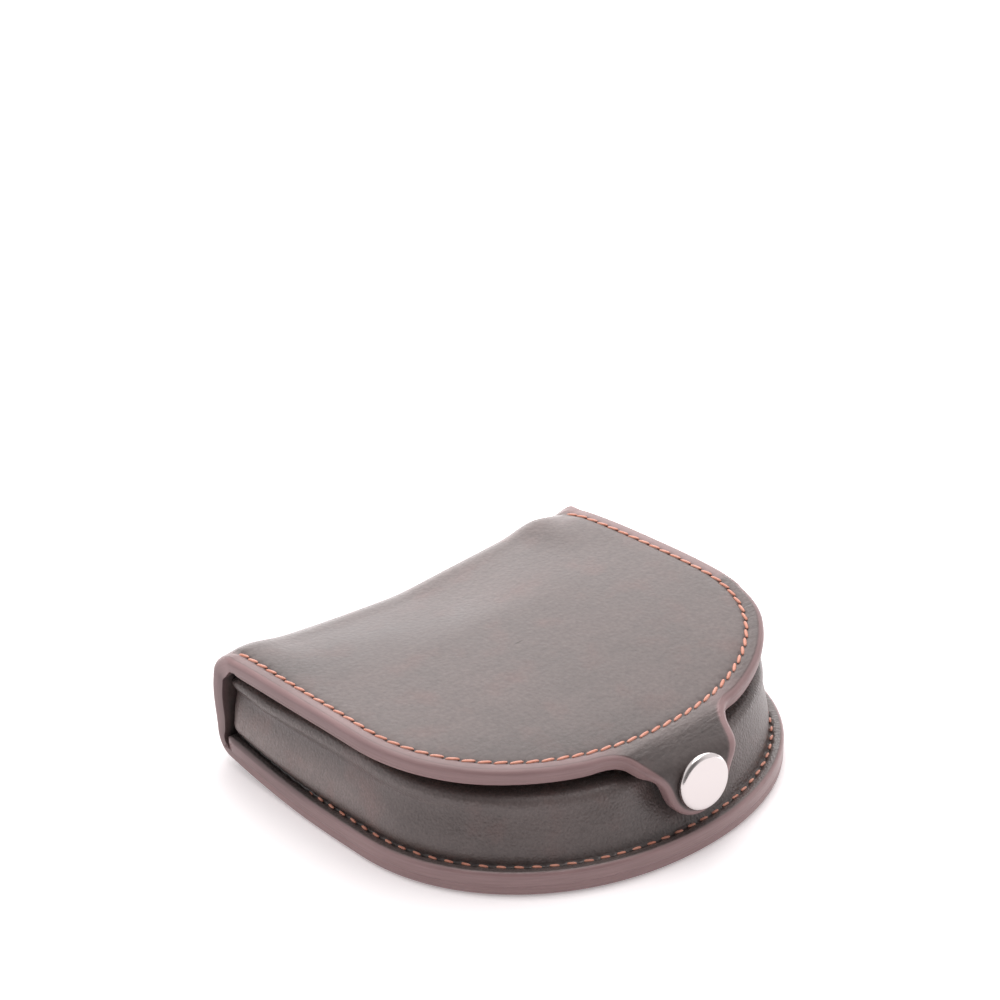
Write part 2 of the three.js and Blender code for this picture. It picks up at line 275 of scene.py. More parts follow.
# Points of the cover's outer face at flat places x, t
def cover_face(x, t):
    u = along("u", t)
    y = MIDDLE_DEPTH - u - along("twist", t) * (x - along("centre", t))
    flat_z = along("z", t)
    bulge = BACK_BULGE["rise"] * bell(flat_z - BACK_BULGE["height"], BACK_BULGE["width"])
    y = y + bulge * (1 - smooth(u, 0.0, BACK_BULGE["fade"])) * (t > HEEL_AT)
    z = flat_z + along("sag", t) * (fold_swell(x, u) - saddle(x, u))
    return np.stack([x, y, z], 1)


# Where the vectors into the leather are evened out over a longer step: the tab and the ends of the fold
EVEN_TAB = {"u": (60.0, 66.0), "step": 1.8}
EVEN_FOLD_END = {"x": (32.0, 36.0), "u": (10.0, 16.0), "step": 2.2}


# Unit vectors into the leather at flat places x, t
def cover_inward(x, t, step=0.12):
    reach = step + (EVEN_TAB["step"] - step) * past_depth(t, *EVEN_TAB["u"])
    fold_end = smooth(np.abs(x), *EVEN_FOLD_END["x"]) * smooth(t, SPINE_AT, FOLD_AT)
    fold_end = fold_end * (1 - past_depth(t, *EVEN_FOLD_END["u"]))
    side_reach = step + (EVEN_FOLD_END["step"] - step) * fold_end
    across = cover_face(x + side_reach, t) - cover_face(x - side_reach, t)
    ahead = cover_face(x, t + reach) - cover_face(x, t - reach)
    inward = np.cross(across, ahead)
    return inward / np.linalg.norm(inward, axis=1)[:, None]


# Evenly spaced points on a polyline
def resampled(points, spacing, closed):
    loop = np.vstack([points, points[:1]]) if closed else points
    lengths = np.concatenate([[0], np.cumsum(np.linalg.norm(np.diff(loop, axis=0), axis=1))])
    count = max(2, int(round(lengths[-1] / spacing)))
    places = np.linspace(0, lengths[-1], count + 1)
    if closed:
        places = places[:-1]
    return np.stack([np.interp(places, lengths, loop[:, k]) for k in range(loop.shape[1])], 1)


# Unit normals to the left of a polyline's run
def left_normals(points, closed):
    if closed:
        ahead = np.roll(points, -1, 0) - np.roll(points, 1, 0)
    else:
        ahead = np.gradient(points, axis=0)
    ahead = ahead / np.linalg.norm(ahead, axis=1)[:, None]
    return np.stack([-ahead[:, 1], ahead[:, 0]], 1)


# One side of the flat outline between two lengths, closely spaced where the outline turns
def side_lengths(first, last):
    quarter = np.linspace(0, math.pi / 2, 300)
    front = BASE["depth"] - BASE["widest"] - (BASE["depth"] - BASE["widest"]) * np.sin(quarter[::-1])
    brow = FLAP_AT - FOLD_RADIUS + FLAP["widest"] + (FLAP["depth"] - FLAP["widest"]) * np.sin(quarter)
    brow = brow[brow < FLAP_AT - FOLD_RADIUS + FILLET_START]
    tip = FLAP_AT - FOLD_RADIUS + TIP_CENTRE + TAB_TIP_RADIUS * np.sin(quarter)
    straight = np.arange(front[-1], tip[0], 0.25)
    straight = straight[(straight < brow[0]) | (straight > brow[-1])]
    every = np.unique(np.concatenate([front, straight, brow, tip, [first, last]]))
    return every[(every >= first) & (every <= last)]


# Half width of the cover at length t
def exact_half(t):
    u = along("u", t)
    q = t - FLAP_AT + FOLD_RADIUS
    base = half_width(BASE, np.where(t < HEEL_AT, BASE["depth"] - t, u))
    stretches = [t < SPINE_AT, t < FOLD_AT, t < FLAP_AT]
    return np.select(stretches, [base, SPINE_HALF, half_width(FLAP, u)], front_half(q))


# Wear of the flap's far edge: a nick that steps in, stays and fades, and a corner that has spread
NICK = {"at": 44.8, "depth": 0.2, "step": 0.6, "stay": 2.0, "fade": 9.0}
FAR_CORNER = {"at": 53.0, "reach": 8.0, "spread": 0.5}
TAB_SWEEPS = 14
SHEET_SPACING = 0.6


# Flat outline of the cover between two lengths, anticlockwise, with the corners at the first length rounded
def flat_outline(first, last, corner=0.0):
    t = side_lengths(first, last)
    turn = first + corner * (1 - np.cos(np.linspace(0, math.pi / 2, 40)))
    t = np.unique(np.concatenate([t, turn]))
    half = exact_half(t)
    short = np.clip(corner - (t - first), 0, None)
    half = half - (corner - np.sqrt(np.clip(corner ** 2 - short ** 2, 0, None)))
    centre = along("centre", t)
    nick_at = flap_t(NICK["at"])
    worn = NICK["depth"] * smooth(t, nick_at, nick_at + NICK["step"])
    worn = worn * (1 - smooth(t, nick_at + NICK["stay"], nick_at + NICK["fade"]))
    worn = worn - FAR_CORNER["spread"] * bell(t - flap_t(FAR_CORNER["at"]), FAR_CORNER["reach"])
    right = np.stack([centre + half - worn, t], 1)
    left = np.stack([centre - half, t], 1)[::-1]
    loop = np.vstack([right, left])
    keep = np.linalg.norm(loop - np.roll(loop, 1, 0), axis=1) > 1e-6
    loop = resampled(loop[keep], SHEET_SPACING, True)
    # The sides of the tab are cut in one easy sweep
    on_tab = smooth(loop[:, 1], flap_t(FILLET_START) - 1, flap_t(FILLET_START) + 2)[:, None]
    for _ in range(TAB_SWEEPS):
        softer = (np.roll(loop, 1, 0) + np.roll(loop, -1, 0)) / 2
        loop = loop + 0.5 * on_tab * (softer - loop)
    start = np.argmin(np.hypot(loop[:, 0] - SPINE_HALF, loop[:, 1] - max(first, SPINE_AT + 3)))
    return np.roll(loop, -start, 0)


# A row of stitches as a flat polyline parallel to a D outline, from one end of the spine round to the other
def d_seam(shape, inset, first_depth, place_t):
    quarter = np.linspace(0, math.pi / 2, 400)
    round_u = shape["widest"] + (shape["depth"] - shape["widest"]) * np.sin(quarter)
    u = np.concatenate([np.arange(first_depth, shape["widest"], 0.2), round_u])
    left = np.stack([-half_width(shape, u), u], 1)
    right = (left * [-1, 1])[::-1][1:]
    d_line = np.vstack([left, right])
    d_line = d_line - inset * left_normals(d_line, False)
    return np.stack([d_line[:, 0], place_t(d_line[:, 1])], 1)


# For each place, the index of the nearest point of a line and the way from that point to the place
def nearest_on(line, places, at_once=500):
    nearest = []
    for first in range(0, len(places), at_once):
        away = places[first:first + at_once, None, :] - line[None, :, :]
        nearest.append(np.argmin((away ** 2).sum(2), 1))
    nearest = np.concatenate(nearest)
    return nearest, places - line[nearest]


def stitch_count(length, pitch):
    return int(round(length / pitch))


# Distance beside a seam, positive on the left of its run, and length along it counted in stitches
def seam_measure(places, seam, pitch):
    line = resampled(seam, 0.2, False)
    steps = np.linalg.norm(np.diff(line, axis=0), axis=1)
    lengths = np.concatenate([[0], np.cumsum(steps)])
    nearest, away = nearest_on(line, places)
    facing = left_normals(line, False)[nearest]
    side = (away * facing).sum(1)
    forward = away[:, 0] * facing[:, 1] - away[:, 1] * facing[:, 0]
    beyond = np.hypot(away[:, 0], away[:, 1])
    past_end = np.abs(forward) > 0.5
    side = np.where(past_end, np.where(side < 0, -beyond, beyond), side)
    run = lengths[nearest] + forward
    return side, run / lengths[-1] * stitch_count(lengths[-1], pitch)


# Depth of the pressed groove and of the needle holes at a place measured from a seam
def seam_dent(side, stitches_along):
    hole = np.abs(stitches_along - np.round(stitches_along))
    groove = GROOVE_DEPTH * bell(side, GROOVE_WIDTH)
    return groove + HOLE_DEPTH * bell(side, HOLE_WIDTH) * bell(hole, HOLE_SHARE)


# Rounded edge of a layer from its outer to its inner face, as rows of inset and depth.
# Each rounding is given as width on the face and depth on the edge.
def edge_rows(top, bottom, outer, inner, steps=6):
    quarter = np.linspace(0, math.pi / 2, steps)
    rows = [(outer[0] * (1 - math.sin(a)), top + outer[1] * (1 - math.cos(a))) for a in quarter]
    rows += [(inner[0] * (1 - math.cos(a)), bottom - inner[1] * (1 - math.sin(a))) for a in quarter]
    return rows


# Quads between closed rings of points that follow one another
def ring_quads(rings, count):
    faces = []
    for ring in range(rings - 1):
        first = ring * count
        second = first + count
        for k in range(count):
            after = (k + 1) % count
            faces.append((first + k, first + after, second + after, second + k))
    return faces


FACE_INSETS = (1.95, 1.65, 1.4)             # rings on a sheet's faces, inside its rounded edge
SEAM_LINES = (-0.8, -0.4, 0.0, 0.4, 0.8)    # rows of points along a seam
FINE_CLEAR = 0.25                           # room kept between the rings and the points of a seam
GRID_CLEAR = 0.7                            # between the rings and the other points
SEAM_CLEAR = 0.8                            # and between those and the points of a seam
ROW_SHARE = 0.866                           # height of an even triangle with sides of one
INSIDE_RIM = 3.0                            # distance from the rim given to the filling


# A sheet of leather over the cover's form: two faces filled with triangles and a rounded edge of quads.
# The seams are places x, t that get finer triangles.
def leather_sheet(outline, rows, seams, spacing=1.35):
    count = len(outline)
    inward = left_normals(outline, True)
    profile = [(inset, rows[0][1]) for inset in FACE_INSETS] + rows
    profile += [(inset, rows[-1][1]) for inset in reversed(FACE_INSETS)]
    inner_ring = outline + FACE_INSETS[0] * inward

    def clear_of_ring(points, distance):
        nearest, away = nearest_on(inner_ring, points)
        return points[(away * inward[nearest]).sum(1) > distance]

    fine = []
    for seam in seams:
        line = resampled(seam, 0.5, False)
        normals = left_normals(line, False)
        fine += [line + offset * normals for offset in SEAM_LINES]
    fine = clear_of_ring(np.vstack(fine), FINE_CLEAR)
    low = outline.min(0)
    high = outline.max(0)
    across = np.arange(low[0], high[0], spacing)
    lines = np.arange(low[1], high[1], spacing * ROW_SHARE)
    grid = np.array([(x + (k % 2) * spacing / 2, t) for k, t in enumerate(lines) for x in across])
    grid = clear_of_ring(grid, GRID_CLEAR)
    nearest, away = nearest_on(fine, grid)
    grid = grid[(away ** 2).sum(1) > SEAM_CLEAR ** 2]
    inside = np.vstack([fine, grid])
    flat = np.vstack([inner_ring, inside])
    made = delaunay_2d_cdt([tuple(p) for p in flat], [], [list(range(count))], 1, 1e-5)
    source = [ids[0] for ids in made[3]]
    triangles = [[source[i] for i in face] for face in made[2]]

    # Vertices: one ring for each row of the profile, then the filling of the outer and of the inner face
    filled = len(inside)
    places = np.vstack([outline + inset * inward for inset, depth in profile] + [inside, inside])
    depths = np.concatenate([np.full(count, depth) for inset, depth in profile]
                            + [np.full(filled, rows[0][1]), np.full(filled, rows[-1][1])])
    faces = ring_quads(len(profile), count)
    last_ring = (len(profile) - 1) * count
    fill = len(profile) * count
    for triangle in triangles:
        outer = [i if i < count else fill + i - count for i in triangle]
        inner = [last_ring + i if i < count else fill + filled + i - count for i in triangle]
        faces.append(tuple(reversed(outer)))
        faces.append(tuple(inner))
    rim = [np.full(count, inset) for inset, depth in profile]
    rim = np.concatenate(rim + [np.full(2 * filled, INSIDE_RIM)])
    ring_run = np.tile(np.arange(count) * SHEET_SPACING, len(profile))
    ring_run = np.concatenate([ring_run, np.zeros(2 * filled)])
    return places, depths, faces, rim, ring_run


# A mesh object at the origin from points in millimetres, with one float attribute for each named array
def piece(name, points, faces, material, values=None):
    mesh = bpy.data.meshes.new(name)
    mesh.from_pydata([tuple(p) for p in np.asarray(points) * MM], [], faces)
    mesh.update()
    for key, numbers in (values or {}).items():
        layer = mesh.attributes.new(key, "FLOAT", "POINT")
        layer.data.foreach_set("value", np.asarray(numbers, dtype=np.float32))
    mesh.polygons.foreach_set("use_smooth", [True] * len(mesh.polygons))
    mesh.materials.append(material)
    made = bpy.data.objects.new(name, mesh)
    bpy.context.scene.collection.objects.link(made)
    return made


# Linear colour of an sRGB hex value
def colour(text):
    parts = [int(text[i:i + 2], 16) / 255 for i in (1, 3, 5)]
    linear = [p / 12.92 if p <= 0.04045 else ((p + 0.055) / 1.055) ** 2.4 for p in parts]
    return (*linear, 1.0)


# Adds a node with its settings, and its sockets set or linked. A node given for a socket stands for its first
# live output.
def add(tree, kind, sockets=None, **settings):
    made = tree.nodes.new(kind)
    for key, value in settings.items():
        setattr(made, key, value)
    for key, value in (sockets or {}).items():
        if isinstance(value, bpy.types.Node):
            value = next(output for output in value.outputs if output.enabled)
        if isinstance(value, bpy.types.NodeSocket):
            tree.links.new(value, made.inputs[key])
        else:
            made.inputs[key].default_value = value
    return made


def new_material(name):
    material = bpy.data.materials.new(name)
    material.use_nodes = True
    material.node_tree.nodes.clear()
    return material, material.node_tree


# Pattern scale, in repeats to the metre, of a feature of this many millimetres
def repeats(size):
    return 1 / (size * MM)


# What the leather's materials read from the pieces: share of paint on the edge and on the band beside it,
# distance from the seam, stitches along it, depth of creases, length along the edge, depth below the outer
# face, and the share by which the colour is darker
LEATHER_VALUES = ("paint", "band", "seam_side", "seam_run", "wrinkle", "rim_run", "depth", "shade")
# Sizes of the patterns in the hide
CLOUD_SIZE = 16.0
FIBRE_SIZE = 1.6
FADED_SIZE = 7.0
CREASE_SIZE = 1.3
CREASE_DEPTH = 0.2
FIBRE_TURN = 0.737
# Repeats to the millimetre of the streaks along and across a painted edge
STREAKS_ALONG = 0.12
STREAKS_ACROSS = 3.2
SCRATCH = {"middle": (-1.8, 4.15, 22.1), "half": (1.3, 0.22, 1.0)}


# Leather: calf hide, vegetable tanned, dyed and waxed. The eye gets a soft satin sheen, cloudy shade,
# a fine pebble from the grain, and cut edges sealed with warmer, smoother paint that carries fine streaks.
# The grain is drawn a little coarser than the real hide's so that it shows.
def leather(name, shade, light, painted, rough, grain, grain_depth, ior):
    material, tree = new_material(name)
    place = add(tree, "ShaderNodeTexCoord").outputs["Object"]
    read = {key: add(tree, "ShaderNodeAttribute", attribute_name=key).outputs["Fac"]
            for key in LEATHER_VALUES}
    cloud = add(tree, "ShaderNodeTexNoise", {
        "Vector": place, "Scale": repeats(CLOUD_SIZE), "Detail": 4.0, "Roughness": 0.6})
    speck = add(tree, "ShaderNodeTexNoise", {"Vector": place, "Scale": repeats(grain), "Detail": 3.0})
    cloudy = add(tree, "ShaderNodeMapRange", {"Value": cloud, "From Min": 0.35, "From Max": 0.65})
    hide = add(tree, "ShaderNodeMix", {"Factor": cloudy, "A": colour(shade), "B": colour(light)},
               data_type="RGBA")
    fine = add(tree, "ShaderNodeMapRange", {
        "Value": speck, "From Min": 0.3, "From Max": 0.7, "To Min": 0.865, "To Max": 1.135})
    # Fibres lie slantwise across the hide
    laid = add(tree, "ShaderNodeMapping", {
        "Vector": place, "Rotation": (0.0, 0.0, FIBRE_TURN), "Scale": (0.25, 1.2, 1.2)})
    fibre = add(tree, "ShaderNodeTexNoise", {"Vector": laid, "Scale": repeats(FIBRE_SIZE), "Detail": 4.0})
    fibrous = add(tree, "ShaderNodeMapRange", {
        "Value": fibre, "From Min": 0.3, "From Max": 0.7, "To Min": 0.95, "To Max": 1.05})
    fine = add(tree, "ShaderNodeMath", {0: fine, 1: fibrous}, operation="MULTIPLY")
    # Faint warm patches where the dye has faded
    patch = add(tree, "ShaderNodeTexNoise", {"Vector": place, "Scale": repeats(FADED_SIZE), "Detail": 3.0})
    faded = add(tree, "ShaderNodeMapRange", {
        "Value": patch, "From Min": 0.54, "From Max": 0.72, "To Min": 0.0, "To Max": 0.3})
    hide = add(tree, "ShaderNodeMix", {"Factor": faded, "A": hide, "B": colour("#705450")}, data_type="RGBA")
    hide = add(tree, "ShaderNodeVectorMath", {0: hide, 1: fine}, operation="MULTIPLY")
    # Streaks run along the painted edge
    streak_along = add(tree, "ShaderNodeMath", {0: read["rim_run"], 1: STREAKS_ALONG}, operation="MULTIPLY")
    streak_across = add(tree, "ShaderNodeMath", {0: read["depth"], 1: STREAKS_ACROSS}, operation="MULTIPLY")
    streak_place = add(tree, "ShaderNodeCombineXYZ", {"X": streak_along, "Y": streak_across, "Z": 0.0})
    streak = add(tree, "ShaderNodeTexNoise", {"Vector": streak_place, "Scale": 1.0, "Detail": 3.0})
    streaky = add(tree, "ShaderNodeMapRange", {
        "Value": streak, "From Min": 0.3, "From Max": 0.7, "To Min": 0.89, "To Max": 1.08})
    paint = add(tree, "ShaderNodeVectorMath", {0: colour(painted)[:3], 1: streaky}, operation="MULTIPLY")
    covered = add(tree, "ShaderNodeMath", {0: read["paint"], 1: read["band"]}, operation="MAXIMUM")
    mixed = add(tree, "ShaderNodeMix", {"Factor": covered, "A": hide, "B": paint}, data_type="RGBA")
    # Darker by wear where the leather was handled most, and by painted shade where it turns from the light or
    # lies under a fold; lighter by a painted highlight where it catches the light
    bright = add(tree, "ShaderNodeMath", {0: 1.0, 1: read["shade"]}, operation="SUBTRACT")
    toned = add(tree, "ShaderNodeVectorMath", {0: mixed, 1: bright}, operation="MULTIPLY")
    # Painted shade in the needle holes and in the groove under the thread
    groove = add(tree, "ShaderNodeMapRange", {
        "Value": read["seam_side"], "From Min": 0.2, "From Max": 0.6, "To Min": 1.0, "To Max": 0.0},
        interpolation_type="SMOOTHSTEP")
    between = add(tree, "ShaderNodeMath", {0: read["seam_run"], 1: 0.5}, operation="PINGPONG")
    hole = add(tree, "ShaderNodeMapRange", {
        "Value": between, "From Min": 0.1, "From Max": 0.22, "To Min": 0.45, "To Max": 0.06},
        interpolation_type="SMOOTHSTEP")
    dark = add(tree, "ShaderNodeMath", {0: groove, 1: hole}, operation="MULTIPLY")
    # One short scratch near the middle of the flap
    middle, half = [tuple(v * MM for v in SCRATCH[key]) for key in ("middle", "half")]
    beside = add(tree, "ShaderNodeVectorMath", {0: place, 1: middle}, operation="SUBTRACT")
    scaled = add(tree, "ShaderNodeVectorMath", {0: beside, 1: half}, operation="DIVIDE")
    away = add(tree, "ShaderNodeVectorMath", {0: scaled}, operation="LENGTH")
    scratch = add(tree, "ShaderNodeMapRange", {
        "Value": away, "From Min": 0.3, "From Max": 1.0, "To Min": 0.7, "To Max": 0.0})
    dark = add(tree, "ShaderNodeMath", {0: dark, 1: scratch}, operation="MAXIMUM")
    holed = add(tree, "ShaderNodeMix", {"Factor": dark, "A": toned, "B": colour("#2A1F1C")}, data_type="RGBA")
    # Relief: pebbled grain on the hide, streaks on the paint, creases where the leather is bent hard
    cells = add(tree, "ShaderNodeTexVoronoi", {"Vector": place, "Scale": repeats(grain)}, feature="SMOOTH_F1")
    crease_place = add(tree, "ShaderNodeMapping", {"Vector": place, "Scale": (0.5, 1.6, 1.6)})
    crease = add(tree, "ShaderNodeTexNoise", {
        "Vector": crease_place, "Scale": repeats(CREASE_SIZE), "Detail": 4.0, "Distortion": 0.6})
    creased = add(tree, "ShaderNodeMath", {0: crease, 1: read["wrinkle"]}, operation="MULTIPLY")
    pebble = add(tree, "ShaderNodeMath", {0: cells, 1: speck}, operation="ADD")
    calm = add(tree, "ShaderNodeMath", {0: streak, 1: 0.6}, operation="MULTIPLY")
    relief = add(tree, "ShaderNodeMix", {"Factor": covered, "A": pebble, "B": calm}, data_type="FLOAT")
    fold_bump = add(tree, "ShaderNodeBump", {
        "Height": creased, "Strength": 1.0, "Distance": CREASE_DEPTH * MM})
    bump = add(tree, "ShaderNodeBump", {
        "Height": relief, "Strength": 1.0, "Distance": grain_depth * MM, "Normal": fold_bump})
    worn = add(tree, "ShaderNodeMapRange", {
        "Value": cloud, "From Min": 0.3, "From Max": 0.7, "To Min": rough - 0.05, "To Max": rough + 0.06})
    surface = add(tree, "ShaderNodeBsdfPrincipled", {
        "Base Color": holed, "Roughness": worn, "IOR": ior, "Normal": bump})
    add(tree, "ShaderNodeOutputMaterial", {"Surface": surface})
    return material


EDGE_PAINT = "#8F7474"
COVER_LEATHER = leather("waxed_calf_leather", "#594F4D", "#685D5B", EDGE_PAINT,
                        rough=0.44, grain=0.72, grain_depth=0.04, ior=1.48)
LINING_LEATHER = leather("painted_lining_leather", "#6A5F5E", "#726765", EDGE_PAINT,
                         rough=0.5, grain=0.72, grain_depth=0.03, ior=1.48)
BOWL_LEATHER = leather("moulded_calf_leather", "#564D4B", "#615755", EDGE_PAINT,
                       rough=0.33, grain=0.42, grain_depth=0.092, ior=1.5)
PLY_SPACING = 0.45
FUZZ_SIZE = 3.0
HAZE_SIZE = 2.5


# Thread: twisted polyester, dyed orange and waxed. The eye gets small bright barrels with a slanting ply.
def thread_material():
    material, tree = new_material("waxed_polyester_thread")
    place = add(tree, "ShaderNodeTexCoord").outputs["Object"]
    turned = add(tree, "ShaderNodeMapping", {"Vector": place, "Rotation": (0.4, 0.3, 0.75)})
    ply = add(tree, "ShaderNodeTexWave", {
        "Vector": turned, "Scale": repeats(PLY_SPACING) / (2 * math.pi), "Distortion": 1.5})
    fuzz = add(tree, "ShaderNodeTexNoise", {"Vector": place, "Scale": repeats(FUZZ_SIZE), "Detail": 2.0})
    tint = add(tree, "ShaderNodeMix", {"Factor": fuzz, "A": colour("#C8765C"), "B": colour("#E4A892")},
               data_type="RGBA")
    bump = add(tree, "ShaderNodeBump", {
        "Height": ply.outputs["Fac"], "Strength": 0.6, "Distance": 0.06 * MM})
    surface = add(tree, "ShaderNodeBsdfPrincipled", {
        "Base Color": tint, "Roughness": 0.42, "IOR": 1.54, "Normal": bump})
    add(tree, "ShaderNodeOutputMaterial", {"Surface": surface})
    return material


# Nickel: pressed brass cap, nickel plated and polished. The eye gets a bright mirror with faint handling
# marks.
def nickel_material():
    material, tree = new_material("polished_nickel_plate")
    place = add(tree, "ShaderNodeTexCoord").outputs["Object"]
    haze = add(tree, "ShaderNodeTexNoise", {"Vector": place, "Scale": repeats(HAZE_SIZE), "Detail": 5.0})
    rough = add(tree, "ShaderNodeMapRange", {
        "Value": haze, "From Min": 0.3, "From Max": 0.7, "To Min": 0.12, "To Max": 0.2})
    bump = add(tree, "ShaderNodeBump", {"Height": haze, "Strength": 0.25, "Distance": 0.02 * MM})
    surface = add(tree, "ShaderNodeBsdfPrincipled", {
        "Base Color": colour("#D2CCCB"), "Metallic": 1.0, "Roughness": rough, "Normal": bump})
    add(tree, "ShaderNodeOutputMaterial", {"Surface": surface})
    return material


THREAD = thread_material()
NICKEL = nickel_material()

FLAP_SEAM = d_seam(FLAP, FLAP_SEAM_INSET, FLAP_SEAM_START, flap_t)
BASE_SEAM = d_seam(BASE, BASE_SEAM_INSET, BASE_SEAM_START, base_t)

# Roundings of an edge, as width on the face and depth on the edge
COVER_ROUND = (1.2, 0.85)
LINING_ROUND = (0.6, 0.45)
SQUARE = (0.02, 0.02)
FACE_DEPTH = 0.01               # depth within which a point lies on a face
SIDES_END = (30.0, 52.0)        # depths over which the flap's straight sides turn into its front
# Ranges over which paint ends: distance from the rim on cover and lining, and depth below the outer face on
# the darker edges and the lighter bands of the flap's sides
COVER_RIM = (0.75, 1.25)
LINING_RIM = (0.35, 0.8)
SIDE_EDGE = (0.25, 0.75)
SIDE_BAND = (0.1, 0.5)
# Ranges of distance from the flap's seam, positive outside it
OUTSIDE_SEAM = (-0.1, 0.5)
INSIDE_SEAM = {"in": (-10.0, -3.0), "out": (-0.6, -0.2)}
FOLD_BAND = {"x": (SPINE_HALF - 3.4, SPINE_HALF - 2.6), "u": 6.0}
# Zones of paint, wear, painted shade and a painted highlight on the cover. Each fades in or out over a range
# across, in x, and along, in depth
BROAD_PAINT = {"x": (0.0, 3.0), "u": (65.0, 68.0), "extra": 0.6}
TAB_ROOT = {"x": (9.0, 14.0), "u": (60.0, 63.0)}
SCUFFS = {"x": (8.0, 24.0), "u": (40.0, 42.5)}
# A patch of painted shade on the flap beside the fold: its x range, and middle and width in depth
SHADE_PATCH = {"x": (-6.0, 6.0), "at": 15.0, "width": 9.0}
# A painted highlight along the fold: its x range, and the depths over which it fades in and out
LIT_FOLD = {"x": (-5.0, 5.0), "in": (-3.0, 0.0), "out": (3.0, 10.0)}
WORN_FRONT = {"x": (-4.0, 12.0), "u": (44.0, 56.0)}
BAND_PAINT = 0.7
# Share by which each zone is darker, where a negative share is lighter. The tab, the patch and the spine's
# inner face carry painted shade, the fold a painted highlight
SHADE_AND_WEAR = {"tab": 0.39, "scuffs": 0.14, "front": 0.24, "shaded_patch": 0.27, "fold": -0.16, "spine_ends": 0.3,
        "side_edges": 0.23, "side_bands": -0.12}
# Strength of the creases in the bend of the tab, the scuffs and the worn front
CREASES = {"tab": 1.0, "scuffs": 0.7, "front": 0.3}
TAB_CREASE_WIDTH = 2.5


# How much a place belongs to the straight sides of the flap, whose edges are darker than the front's
def flap_sides(t):
    return smooth(t, FLAP_AT - 2, FLAP_AT) * (1 - past_depth(t, *SIDES_END))


